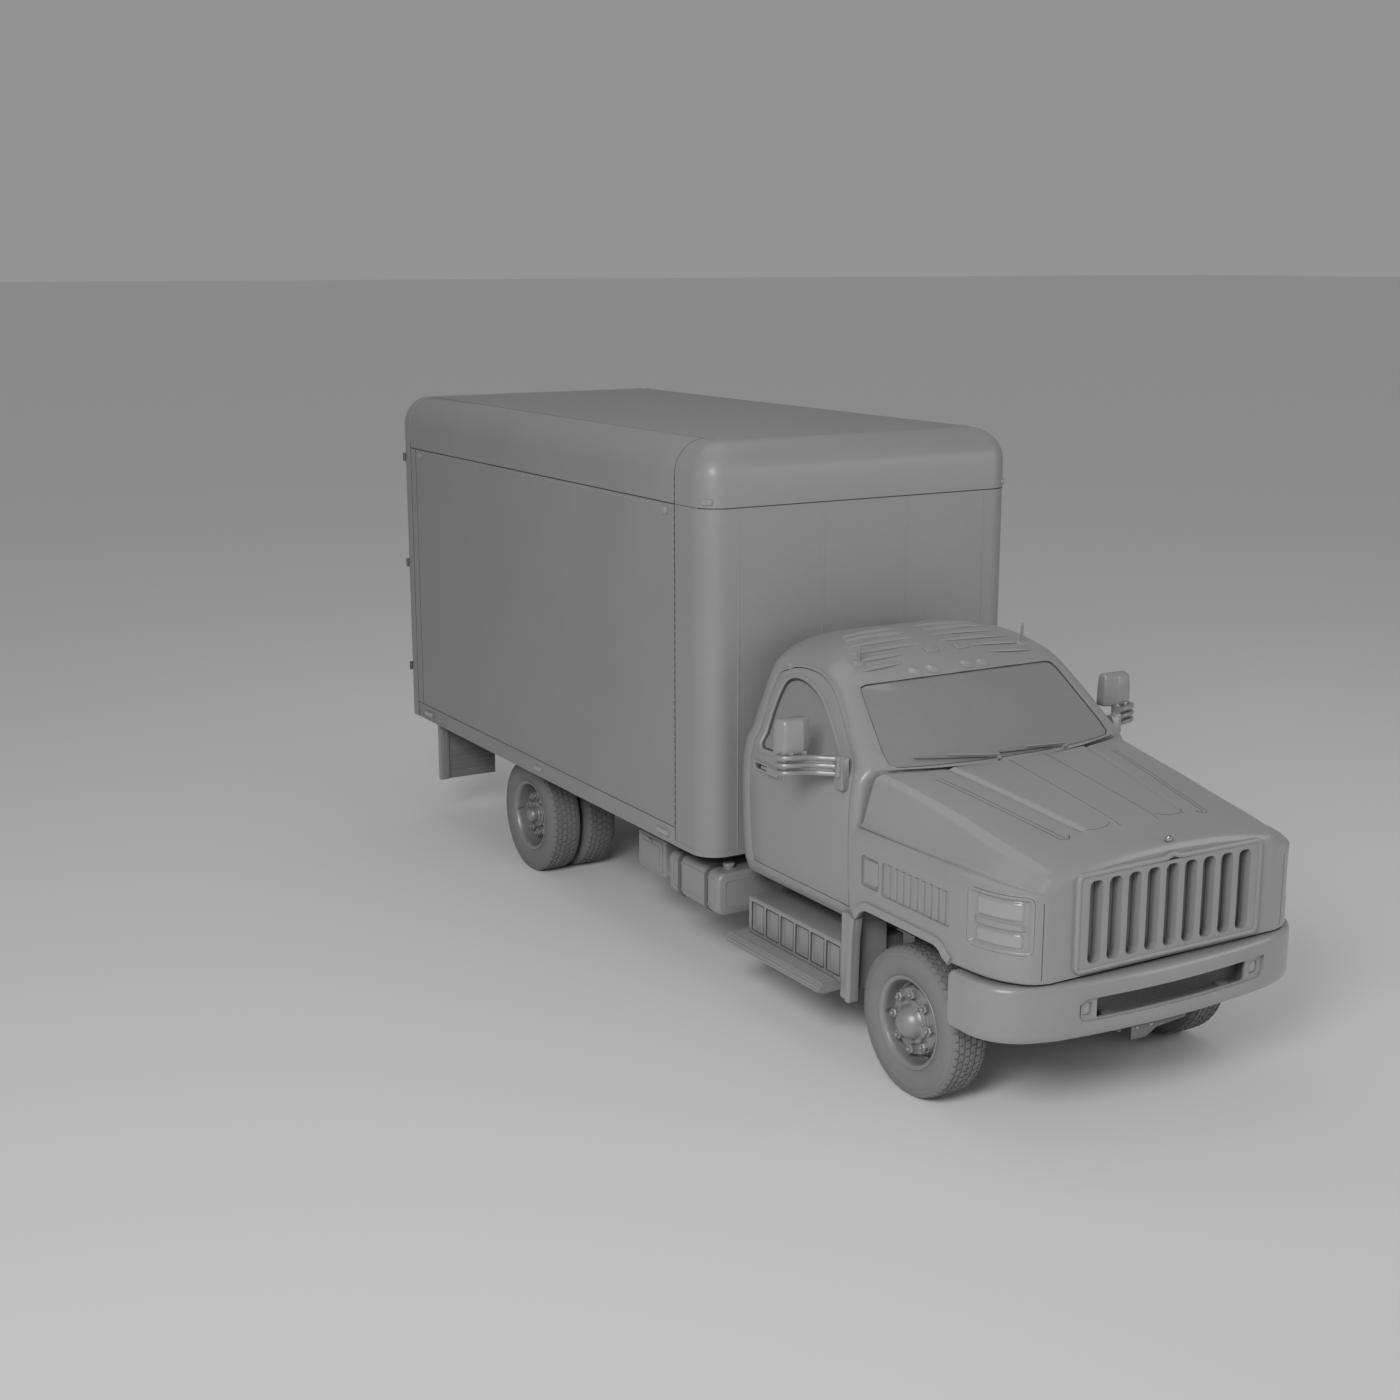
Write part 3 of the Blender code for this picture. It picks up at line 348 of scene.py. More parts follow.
def filleted(points, steps=5, closed=False):
    # A line through (a, b, radius) corners with each corner rounded to its radius
    count = len(points)
    line = []
    for i, (a, b, radius) in enumerate(points):
        here = Vector((a, b))
        if radius == 0 or (not closed and i in (0, count - 1)):
            line.append((a, b))
            continue
        before = (Vector(points[i - 1][:2]) - here).normalized()
        after = (Vector(points[(i + 1) % count][:2]) - here).normalized()
        half = before.angle(after) / 2
        reach = radius / math.tan(half)
        start, end = here + before * reach, here + after * reach
        centre = here + (before + after).normalized() * (radius / math.sin(half))
        for k in range(steps + 1):
            ray = (start - centre).lerp(end - centre, k / steps).normalized()
            line.append(tuple(centre + ray * radius))
    return line


def panel(outlines, axis, low, high, edge=0.0, steps=2):
    # Flat outlines, the first with the others as holes, made solid along an axis, with round edges
    curve = bpy.data.curves.new("panel", "CURVE")
    curve.dimensions = "2D"
    curve.fill_mode = "BOTH"
    curve.extrude = (high - low) / 2 - edge
    curve.bevel_depth = edge
    curve.bevel_resolution = steps
    curve.offset = -edge
    for outline in outlines:
        spline = curve.splines.new("POLY")
        spline.points.add(len(outline) - 1)
        for point, (a, b) in zip(spline.points, outline):
            point.co = (a, b, 0, 1)
        spline.use_cyclic_u = True
    holder = bpy.data.objects.new("panel", curve)
    bpy.context.scene.collection.objects.link(holder)
    bm = evaluated(holder)
    bpy.data.curves.remove(curve)
    bmesh.ops.remove_doubles(bm, verts=bm.verts, dist=0.00002)
    rows = {"X": ((0, 0, 1), (1, 0, 0), (0, 1, 0)), "Y": ((1, 0, 0), (0, 0, -1), (0, 1, 0)),
            "Z": ((1, 0, 0), (0, 1, 0), (0, 0, 1))}[axis]
    shift = [(low + high) / 2 if axis == letter else 0.0 for letter in "XYZ"]
    return shifted(shaped(bm, Matrix(rows).to_4x4()), shift)


def gridFaces(bm, rows, closedRow=False, closedColumn=False):
    # Quads over rows of points
    verts = [[bm.verts.new(p) for p in row] for row in rows]
    high, wide = len(rows), len(rows[0])
    for i in range(high if closedColumn else high - 1):
        for k in range(wide if closedRow else wide - 1):
            a, b = verts[i][k], verts[i][(k + 1) % wide]
            c, d = verts[(i + 1) % high][(k + 1) % wide], verts[(i + 1) % high][k]
            bm.faces.new((a, b, c, d))
    return verts


def loft(rings):
    # Closed rings of equal length skinned over, with a flat face at each end
    bm = bmesh.new()
    verts = gridFaces(bm, rings, closedRow=True)
    bm.faces.new(reversed(verts[0]))
    bm.faces.new(verts[-1])
    bmesh.ops.recalc_face_normals(bm, faces=bm.faces)
    return bm


def sweep(path, profile, closed=False, up=(0, 0, 1)):
    # A closed profile (across, up) carried along a path
    path = [Vector(p) for p in path]
    up = Vector(up)
    count = len(path)
    rings = []
    for i, here in enumerate(path):
        before = path[i - 1] if i or closed else here
        after = path[(i + 1) % count] if i < count - 1 or closed else here
        ahead = (after - before).normalized()
        across = ahead.cross(up).normalized()
        over = across.cross(ahead).normalized()
        a = (here - before).normalized() if (here - before).length else ahead
        b = (after - here).normalized() if (after - here).length else ahead
        stretch = 1 / max(0.35, math.cos(a.angle(b) / 2))
        rings.append([here + across * (u * stretch) + over * v for u, v in profile])
    bm = bmesh.new()
    verts = gridFaces(bm, rings, closedRow=True, closedColumn=closed)
    if not closed:
        bm.faces.new(reversed(verts[0]))
        bm.faces.new(verts[-1])
    bmesh.ops.recalc_face_normals(bm, faces=bm.faces)
    return bm


def circle(radius, sides=12, squash=1.0):
    return [(radius * math.cos(math.tau * i / sides), radius * squash * math.sin(math.tau * i / sides))
            for i in range(sides)]


def rect(left, low, right, high):
    return [(left, low), (right, low), (right, high), (left, high)]


def upright(profile, steps, spot=(0, 0, 0)):
    # (radius, height) profile turned about a vertical line through the spot
    return loft([[(spot[0] + x, spot[1] + y, spot[2] + z) for x, y in circle(radius, steps)] for radius, z in profile])


def tube(path, radius, sides=10, closed=False, up=(0, 0, 1)):
    return sweep(path, circle(radius, sides), closed, up)


def smoothLine(points, steps=6):
    # Catmull-Rom line through the points
    points = [Vector(p) for p in points]
    padded = [2 * points[0] - points[1]] + points + [2 * points[-1] - points[-2]]
    line = []
    for a, b, c, d in zip(padded, padded[1:], padded[2:], padded[3:]):
        for k in range(steps):
            t = k / steps
            line.append(0.5 * (2 * b + (c - a) * t + (2 * a - 5 * b + 4 * c - d) * t ** 2
                               + (3 * b - a - 3 * c + d) * t ** 3))
    return line + [points[-1]]


def turned(profile, centre, side=1, steps=72):
    # (radius, outboard offset) profile turned about an axle line across the truck
    rings = []
    for i in range(steps):
        turn = math.tau * i / steps
        rings.append([(centre[0] + side * out, centre[1] + r * math.cos(turn), centre[2] + r * math.sin(turn))
                      for r, out in profile])
    bm = bmesh.new()
    gridFaces(bm, rings, closedColumn=True)
    bmesh.ops.remove_doubles(bm, verts=bm.verts, dist=0.00002)
    bmesh.ops.recalc_face_normals(bm, faces=bm.faces)
    return bm


def smoothTable(table, spots):
    # Rows of numbers read smoothly at new values of their first column
    table = np.array(table, float)
    t = table[:, 0]
    result = []
    for spot in spots:
        i = int(np.clip(np.searchsorted(t, spot) - 1, 0, len(t) - 2))
        h = t[i + 1] - t[i]
        s = (spot - t[i]) / h
        lower = (table[i + 1] - table[i - 1]) / (t[i + 1] - t[i - 1]) if i else (table[1] - table[0]) / h
        last = i + 2 >= len(t)
        upper = (table[i + 1] - table[i]) / h if last else (table[i + 2] - table[i]) / (t[i + 2] - t[i])
        result.append(table[i] * (2 * s ** 3 - 3 * s ** 2 + 1) + lower * h * (s ** 3 - 2 * s ** 2 + s)
                      + table[i + 1] * (3 * s ** 2 - 2 * s ** 3) + upper * h * (s ** 3 - s ** 2))
    return result


def ease(low, high, value):
    t = min(1.0, max(0.0, (value - low) / (high - low)))
    return t * t * (3 - 2 * t)


# Repeats by Geometry Nodes

socketKinds = {"Unit": "NodeSocketObject", "Finish": "NodeSocketMaterial", "Count": "NodeSocketInt",
               "Radius": "NodeSocketFloat", "Phase": "NodeSocketFloat", "Lean": "NodeSocketFloat",
               "Centre": "NodeSocketVector", "Turn": "NodeSocketVector", "Start": "NodeSocketVector",
               "End": "NodeSocketVector"}


def newTree(name, inputs):
    tree = bpy.data.node_groups.new(name, "GeometryNodeTree")
    tree.interface.new_socket("Geometry", in_out="INPUT", socket_type="NodeSocketGeometry")
    for label in inputs:
        tree.interface.new_socket(label, in_out="INPUT", socket_type=socketKinds[label])
    tree.interface.new_socket("Geometry", in_out="OUTPUT", socket_type="NodeSocketGeometry")
    graph = Graph(tree)
    entry = tree.nodes.new("NodeGroupInput")
    return tree, graph, {label: Wire(graph, entry.outputs[label]) for label in inputs}


def endTree(tree, graph, points, given, turn=None):
    unit = graph.add("GeometryNodeObjectInfo", {}, {"Object": given["Unit"]}, out="Geometry")
    values = {"Points": points, "Instance": unit}
    if turn is not None:
        values["Rotation"] = turn
    copies = graph.add("GeometryNodeInstanceOnPoints", {}, values)
    solid = graph.add("GeometryNodeRealizeInstances", {}, [copies])
    if "Turn" in given:
        solid = graph.add("GeometryNodeTransform", {},
                          {"Geometry": solid, "Translation": given["Centre"], "Rotation": given["Turn"]})
    painted = graph.add("GeometryNodeSetMaterial", {}, {"Geometry": solid, "Material": given["Finish"]})
    graph.add("NodeGroupOutput", {}, [painted])
    return tree


def ringTree():
    # The unit's +X points away from the ring's middle and its +Z along the axle
    tree, graph, given = newTree("unitsInARing", ["Unit", "Finish", "Count", "Radius", "Phase", "Lean",
                                                  "Centre", "Turn"])
    ring = graph.add("GeometryNodeMeshCircle", {}, {"Vertices": given["Count"], "Radius": given["Radius"]})
    index = graph.add("GeometryNodeInputIndex")
    angle = index * math.tau / given["Count"]
    spin = graph.add("GeometryNodeTransform", {}, {"Geometry": ring, "Rotation": graph.add(
        "ShaderNodeCombineXYZ", {}, {"Z": given["Phase"]})})
    turn = graph.add("ShaderNodeCombineXYZ", {}, {"Y": given["Lean"], "Z": angle + given["Phase"]})
    return endTree(tree, graph, spin, given, turn)


def lineTree():
    tree, graph, given = newTree("unitsInALine", ["Unit", "Finish", "Count", "Start", "End"])
    line = graph.add("GeometryNodeMeshLine", {"mode": "END_POINTS"},
                     {"Count": given["Count"], "Start Location": given["Start"], "Offset": given["End"]})
    return endTree(tree, graph, line, given)


trees = {"ring": ringTree(), "line": lineTree()}


def repeat(kind, unit, look, **inputs):
    # Runs a tree on a unit bmesh and gives the copies as one bmesh
    unitObject = asObject(unit, "unit")
    host = asObject(bmesh.new(), "host")
    modifier = host.modifiers.new("repeat", "NODES")
    modifier.node_group = trees[kind]
    names = {item.name: item.identifier for item in trees[kind].interface.items_tree
             if item.in_out == "INPUT"}
    modifier[names["Unit"]] = unitObject
    modifier[names["Finish"]] = looks[look]
    for label, value in inputs.items():
        modifier[names[label]] = value
    bm = evaluated(host)
    bpy.data.objects.remove(unitObject)
    bmesh.ops.remove_doubles(bm, verts=bm.verts, dist=0.00001)
    return bm


def row(unit, look, start, end, count):
    return repeat("line", unit, look, Count=count, Start=tuple(start), End=tuple(end))


def dome(radius, height, sides=8):
    # A rivet head on the XY plane, for a repeat
    return upright([(radius * c, height * h) for c, h in ((1.0, -0.6), (1.0, 0.2), (0.75, 0.75), (0.35, 1.0))], sides)


def facing(bm, direction):
    # Turns a unit made along +Z to face a direction
    return shaped(bm, Vector(direction).to_track_quat("Z", "Y").to_matrix().to_4x4())


def stud(radius, height, sides, spot, direction):
    # A small dome on a surface
    return shifted(facing(dome(radius, height, sides), direction), spot)


# Nose: one tilting shell, with its grille, lamps and vents

nose = {
    # along the truck, half width, shelf height, crease half width, crease height, centre height
    "stations": [(-0.955, 0.86, 1.44, 0.76, 1.5, 1.56), (-0.93, 0.935, 1.45, 0.8, 1.525, 1.595),
                 (-0.875, 0.995, 1.46, 0.825, 1.545, 1.612), (-0.785, 1.05, 1.47, 0.84, 1.565, 1.63),
                 (-0.655, 1.085, 1.48, 0.85, 1.59, 1.655), (-0.45, 1.1, 1.49, 0.86, 1.625, 1.69),
                 (-0.1, 1.1, 1.49, 0.875, 1.69, 1.745), (0.2, 1.1, 1.49, 0.895, 1.735, 1.79),
                 (0.52, 1.095, 1.49, 0.925, 1.778, 1.828)],
    "bottom": 0.95, "wall": 0.03, "rear": 0.5, "cowlBow": 0.23,
    # long channels in the hood: half width at the rear and front, their ends
    "channel": dict(rear=0.52, front=0.375, start=0.3, end=-0.655, width=0.02, depth=0.009),
    "loop": dict(rear=0.685, front=0.545, start=0.26, end=-0.65, gap=0.03),
    "centreLine": 0.137,
    "arch": [(0.445, 0.6, 0.0), (0.44, 1.035, 0.13), (-0.36, 1.03, 0.12),
             (-0.45, 0.9, 0.05), (-0.455, 0.6, 0.0)],
    "grille": dict(half=0.652, low=0.988, high=1.507, slots=9, pitch=0.136, slotWidth=0.094,
                   slotLow=1.016, slotHigh=1.48),
    "lamp": dict(outerY=-0.575, innerY=-0.932, low=1.112, high=1.432, corner=0.04, recess=0.02),
}
noseSpots = ([-0.955 + 0.3 * (i / 26) ** 1.5 for i in range(26)]
             + [-0.655 + 1.175 * i / 100 for i in range(101)])
noseRows = smoothTable(nose["stations"], noseSpots)


def hoodHeight(x, y, creaseHalf, creaseHeight, top):
    share = abs(x) / creaseHalf
    height = top - (top - creaseHeight) * share ** 2
    channel = nose["channel"]
    reach = (channel["start"] - y) / (channel["start"] - channel["end"])
    line = channel["rear"] + (channel["front"] - channel["rear"]) * reach
    # Outside the long channel the skin lies a little lower, and a valley runs along its edge
    inside = ease(line + 0.035, line - 0.035, abs(x)) * ease(-0.74, -0.62, y)
    valley = math.exp(-((abs(x) - line) / channel["width"]) ** 2) * ease(-0.7, -0.62, y)
    spine = ease(0.165, 0.125, abs(x)) * ease(-0.8, -0.6, y)
    return height + 0.008 * inside - channel["depth"] * valley + 0.004 * spine


def noseRing(values, inset=0.0, across=84):
    y, half, shelf, crease, creaseHeight, top = values
    room = half - crease
    half, crease = half - inset, crease - inset * 0.8
    shelf, creaseHeight, top = shelf - inset, creaseHeight - inset, top - inset
    bottom = nose["bottom"] - (0.05 if inset else 0)
    radius = 0.2 * room
    inner = crease * 0.86
    edge = hoodHeight(inner, y, crease, creaseHeight, top)
    dip = 0.014 * ease(-0.85, -0.2, y)
    line = filleted([(0, bottom, 0), (half, bottom, 0.02), (half, shelf - 0.004, 0.055 * room / 0.17 + 0.004),
                     (half - 0.42 * room, shelf - dip, radius),
                     (crease + 0.1 * room, creaseHeight - 0.1 * room, radius),
                     (crease - 0.15 * room, creaseHeight + 0.004, radius), (inner, edge, 0)], 5)
    for i in range(1, across + 1):
        x = inner * (1 - i / across)
        line.append((x, hoodHeight(x, y, crease, creaseHeight, top)))
    line += [(-x, z) for x, z in reversed(line[1:-1])]
    return [(x, y, z) for x, z in line]


def noseShell():
    skin = loft([noseRing(values) for values in noseRows])
    coarse = smoothTable(nose["stations"], [-0.925] + [-0.9 + 0.142 * i for i in range(11)])
    hollow = loft([noseRing(values, nose["wall"], 10) for values in coarse[:-1]]
                  + [[(x, 1.2, z) for x, _, z in noseRing(coarse[-1], nose["wall"], 10)]])
    bm = boolean(skin, hollow)
    cowl = [(x, nose["rear"] - nose["cowlBow"] * max(0.0, 1 - (x / 0.95) ** 2))
            for x in [1.32 * (i / 30 - 1) for i in range(61)]]
    bm = boolean(bm, panel([cowl + [(1.4, 1.5), (-1.4, 1.5)]], "Z", 0.5, 2.2))
    bm = boolean(bm, panel([filleted(nose["arch"], 6)], "X", -1.4, 1.4))
    g = nose["grille"]
    hole = roundRect((-g["half"] - 0.004, g["low"] - 0.004), (g["half"] + 0.004, g["high"] + 0.004), 0.03)
    bm = boolean(bm, panel([hole], "Y", -1.2, -0.72))
    for side in (-1, 1):
        bm = boolean(bm, onSide(lampPatch(0.06, -0.09, 0.002), side))
        recess = panel([roundRect((-0.435, 1.15), (0.195, 1.352), 0.018)], "X", 1.088, 1.2)
        pocket = panel([roundRect((0.225, 1.16), (0.4, 1.345), 0.022)], "X", 1.08, 1.2)
        bm = boolean(bm, onSide(merged(recess, pocket), side))
    return bm


# The corner path runs along the side of the nose and round its front corner
cornerRows = smoothTable(nose["stations"],
                         [0.44 - 0.02 * i for i in range(65)] + [-0.86 - 0.005 * i for i in range(20)])
cornerPath = [Vector((values[1], values[0])) for values in cornerRows] + [Vector((0.85 - 0.05 * i,
                                                                                  -0.9555)) for i in range(4)]
cornerLength = [0.0]
for before, after in zip(cornerPath, cornerPath[1:]):
    cornerLength.append(cornerLength[-1] + (after - before).length)


def cornerAt(s, z, proud=0.0):
    def spot(t):
        i = int(np.clip(np.searchsorted(cornerLength, t) - 1, 0, len(cornerPath) - 2))
        share = (t - cornerLength[i]) / (cornerLength[i + 1] - cornerLength[i])
        return cornerPath[i].lerp(cornerPath[i + 1], share)
    here, ahead = spot(s), spot(s + 0.03) - spot(s - 0.03)
    normal = Vector((-ahead.y, ahead.x)).normalized()
    here = here + normal * proud
    return (here.x, here.y, z)


def cornerSpot(y):
    return float(np.interp(-y, [-p.y for p in cornerPath], cornerLength))


lampSpan = (cornerSpot(nose["lamp"]["outerY"]), cornerSpot(nose["lamp"]["innerY"]))


def patchRows(span, heights, corner, proud, across=40, up=30, grow=0.0):
    # Rows of points over a round-cornered patch of the front corner
    (s0, s1), (z0, z1) = span, heights
    s0, s1, z0, z1 = s0 - grow, s1 + grow, z0 - grow, z1 + grow
    rows = []
    for k in range(up + 1):
        z = z0 + (z1 - z0) * k / up
        near = max(0.0, corner - min(z - z0, z1 - z))
        pull = corner - math.sqrt(max(0.0, corner ** 2 - near ** 2))
        rows.append([])
        for i in range(across + 1):
            s = s0 + pull + (s1 - s0 - 2 * pull) * i / across
            depth = proud(i / across, k / up) if callable(proud) else proud
            rows[-1].append(cornerAt(s, z, depth))
    return rows


def closedPatch(outer, inner):
    bm = bmesh.new()
    a, b = gridFaces(bm, outer), gridFaces(bm, inner)
    def rim(grid):
        return (grid[0] + [line[-1] for line in grid[1:]] + grid[-1][-2::-1] + [line[0] for line in grid[-2:0:-1]])
    first, second = rim(a), rim(b)
    for i in range(len(first)):
        k = (i + 1) % len(first)
        bm.faces.new((first[i], first[k], second[k], second[i]))
    bmesh.ops.recalc_face_normals(bm, faces=bm.faces)
    return bm


def lampPatch(outer, inner, grow):
    lamp = nose["lamp"]
    heights = (lamp["low"], lamp["high"])
    return closedPatch(patchRows(lampSpan, heights, lamp["corner"], outer, 24, 24, grow),
                       patchRows(lampSpan, heights, lamp["corner"], inner, 24, 24, grow))


def lampHousing():
    lamp = nose["lamp"]
    def depth(u, v):
        rim = min(min(u, 1 - u) * 3.6, min(v, 1 - v) * 3.0)
        shelf = -lamp["recess"] * ease(0.1, 0.3, rim)
        bar = ease(0.075, 0.045, abs(v - 0.46)) * ease(0.08, 0.18, min(u, 1 - u))
        return shelf + (lamp["recess"] - 0.003) * bar - 0.001
    heights = (lamp["low"], lamp["high"])
    return closedPatch(patchRows(lampSpan, heights, lamp["corner"], depth, 64, 64),
                       patchRows(lampSpan, heights, lamp["corner"], -0.045, 64, 64))


def lampLens(low, high):
    lamp = nose["lamp"]
    length = lampSpan[1] - lampSpan[0]
    span = (lampSpan[0] + 0.12 * length, lampSpan[1] - 0.12 * length)
    def depth(u, v):
        rim = min(min(u, 1 - u) * 4.0, min(v, 1 - v) * 1.6)
        return -lamp["recess"] - 0.002 + 0.013 * ease(0.0, 0.28, rim)
    return closedPatch(patchRows(span, (low, high), 0.03, depth, 40, 24),
                       patchRows(span, (low, high), 0.03, -lamp["recess"] - 0.008, 40, 24))


def archLip(side):
    line = [(y, z) for y, z in filleted(nose["arch"], 6) if z > 0.955]
    path = [(1.1, y, z) for y, z in [(0.437, 0.955), *line, (-0.447, 0.955)]]
    return onSide(sweep(path, roundRect((-0.012, -0.014), (0.04, 0.018), 0.009, 3), up=(1, 0, 0)), side)


def hoodLine(points, width=0.0035):
    # A narrow panel line laid on the hood
    path = []
    for x, y in points:
        path.append((x, y, hoodHeight(x, y, *smoothTable(nose["stations"], [y])[0][3:]) + 0.0006))
    return sweep(path, rect(-width / 2, -0.004, width / 2, 0))


def hoodLines():
    loopSize = nose["loop"]
    spots = [loopSize["start"] + (loopSize["end"] - loopSize["start"]) * i / 24 for i in range(25)]
    def edge(y, inward):
        share = (loopSize["start"] - y) / (loopSize["start"] - loopSize["end"])
        return loopSize["rear"] + (loopSize["front"] - loopSize["rear"]) * share - inward
    lines = []
    for side in (-1, 1):
        for inward, last in ((0.0, 0.07), (loopSize["gap"], 0.045)):
            line = [(side * edge(y, inward), y) for y in spots]
            x, y = abs(line[-1][0]), line[-1][1]
            line += [(side * a, b) for a, b in arc((x - last / 2, y), last / 2, 0, -180, 8)][1:]
            lines.append(hoodLine(line))
        centre = [(side * nose["centreLine"], 0.28 - 0.98 * i / 24) for i in range(25)]
        lines.append(hoodLine(centre, 0.003))
        tip = [(side * a, b) for a, b in smoothPlan([(nose["centreLine"] + 0.03, -0.64), (0.22, -0.668),
                                                     (0.3, -0.672), (0.37, -0.65), (0.395, -0.6)])]
        lines.append(hoodLine(tip, 0.003))
    return merged(*lines)


def smoothPlan(points):
    return [(p.x, p.y) for p in smoothLine([(a, b, 0) for a, b in points], 5)]


def grilleFace():
    g = nose["grille"]
    outer = roundRect((-g["half"], g["low"]), (g["half"], g["high"]), 0.028)
    holes = []
    for i in range(g["slots"]):
        x = g["pitch"] * (i - (g["slots"] - 1) / 2)
        lift = 0.008 * (1 - abs(i - 4) / 4)
        hole = roundRect((x - g["slotWidth"] / 2, g["slotLow"]), (x + g["slotWidth"] / 2, g["slotHigh"] + lift), 0.036)
        holes.append(hole[::-1])
    return panel([outer] + holes, "Y", -0.972, -0.918)


def slotLiners():
    # Deep round-ended tunnels behind the slots, each with its own inner vane
    g = nose["grille"]
    parts = []
    for i in range(g["slots"]):
        x = g["pitch"] * (i - (g["slots"] - 1) / 2)
        outer = roundRect((x - g["slotWidth"] / 2 - 0.006, g["slotLow"] - 0.006),
                          (x + g["slotWidth"] / 2 + 0.006, g["slotHigh"] + 0.01), 0.04)
        inner = roundRect((x - g["slotWidth"] / 2 + 0.002, g["slotLow"] + 0.002),
                          (x + g["slotWidth"] / 2 - 0.002, g["slotHigh"] + 0.002), 0.034)
        parts.append(panel([outer, inner[::-1]], "Y", -0.917, -0.86))
        parts.append(box((x + 0.012, -0.905, g["slotLow"]), (x + 0.04, -0.865, g["slotHigh"]), 0.004))
    return merged(*parts)


# Radiator behind the grille slots: its back sheet and fins in near-black, painted shade for the dark seen through the
# slots
def radiatorCore():
    g = nose["grille"]
    back = box((-g["half"] + 0.01, -0.852, g["low"]), (g["half"] - 0.01, -0.842, g["high"]))
    fin = box((-g["half"] + 0.01, -0.002, -0.002), (g["half"] - 0.01, 0.004, 0.002))
    fins = row(fin, "darkSeam", (0, -0.856, g["low"] + 0.01), (0, -0.856, g["high"] - 0.01), 60)
    return merged(back, fins)


def surround():
    g = nose["grille"]
    outline = filleted([(-g["half"] - 0.012, g["low"] - 0.008, 0.032), (g["half"] + 0.012, g["low"] - 0.008, 0.032),
                        (g["half"] + 0.012, g["high"] + 0.01, 0.032), (0.05, g["high"] + 0.016, 0.03),
                        (0.0, g["high"] + 0.034, 0.02), (-0.05, g["high"] + 0.016, 0.03),
                        (-g["half"] - 0.012, g["high"] + 0.01, 0.032)], 6, closed=True)
    path = [(x, -0.962, z) for x, z in outline]
    return sweep(path, roundRect((-0.014, -0.018), (0.014, 0.017), 0.01, 3), closed=True, up=(0, -1, 0))


def ornament():
    profile = [(0.0, 0.048), (0.01, 0.046), (0.019, 0.036), (0.022, 0.024), (0.018, 0.012), (0.011, 0.006),
               (0.012, -0.01), (0.0, -0.01)]
    bm = turned(profile, (0, 0, 0), 1, 24)
    bmesh.ops.rotate(bm, matrix=Matrix.Rotation(math.radians(-90), 3, "Y"), verts=bm.verts)
    bmesh.ops.scale(bm, vec=(1.15, 0.8, 1), verts=bm.verts)
    bmesh.ops.rotate(bm, matrix=Matrix.Rotation(math.radians(28), 3, "X"), verts=bm.verts)
    return shifted(bm, (0, -0.915, 1.592))


def cornerSeam(side):
    # The upright line between the grille's surround and the lamp corner
    s = cornerSpot(-0.948)
    path = [cornerAt(s, z, 0.0006) for z in [0.97 + 0.43 * i / 10 for i in range(11)]]
    return onSide(sweep(path, rect(-0.0022, -0.004, 0.0022, 0),
                        up=(0.5, -0.86, 0)), side)


def sideVents(side):
    slat = rounded(box((1.078, -0.01, 1.158), (1.098, 0.01, 1.344)), 0.006, 2)
    slats = row(slat, "cabPaint", (0, -0.375, 0), (0, 0.135, 0), 9)
    plug = panel([roundRect((0.245, 1.18), (0.38, 1.325), 0.018)], "X", 1.074, 1.092, 0.004)
    return onSide(merged(slats, plug), side)


def makeNose():
    place("noseShell", noseShell(), "cabPaint", "nose", ["hood", "fender_left", "fender_right"], sharp=28)
    place("hoodPanelLines", merged(hoodLines(), cornerSeam(-1), cornerSeam(1)), "darkSeam", "nose", slot="body_paint")
    place("grilleFace", rounded(grilleFace(), 0.009, 3, 50), "cabPaint", "nose", ["grille"])
    place("grilleSlotLiners", slotLiners(), "cabPaint", "nose")
    # The radiator in near-black, painted shade behind the slots
    place("radiatorCore", radiatorCore(), "darkSeam", "nose")
    place("grilleSurround", surround(), "cabPaint", "nose")
    place("hoodOrnament", ornament(), "brightTrim", "nose")
    for word, side in sides:
        place("lampHousing" + word, onSide(lampHousing(), side), "cabPaint", "nose", ["headlamp_" + word.lower()])
        place("lampLenses" + word, onSide(merged(lampLens(1.285, 1.408), lampLens(1.138, 1.232)), side),
              "lampLens", "nose")
        place("archLip" + word, archLip(side), "cabPaint", "nose")
        place("sideVents" + word, sideVents(side), "cabPaint", "nose")
    print("nose finished")


makeNose()


# Front bumper

bumper = {"bottom": 0.615, "top": 0.935, "sheet": 0.034,
          "plan": [(1.15, -0.5), (1.15, -0.58), (1.15, -0.66), (1.128, -0.755), (1.075, -0.845), (0.98, -0.925),
                   (0.81, -0.985), (0.63, -1.012), (0.45, -1.03), (0.22, -1.045), (0.0, -1.05)],
          "recess": ((-0.66, 0.708), (0.72, 0.838)), "opening": ((-0.535, 0.716), (0.565, 0.828)),
          "lamps": (-0.598, 0.64)}


def bumperPath():
    plan = smoothLine([(x, y, 0.0) for x, y in bumper["plan"]], 4)
    return [tuple(p) for p in plan] + [(-p.x, p.y, 0.0) for p in reversed(plan[:-1])]


def bumperFront(x):
    # How far forward the face stands at a width
    plan = sorted((abs(a), b) for a, b in bumper["plan"] if a < 1.149)
    return float(np.interp(abs(x), [a for a, b in plan], [b for a, b in plan]))


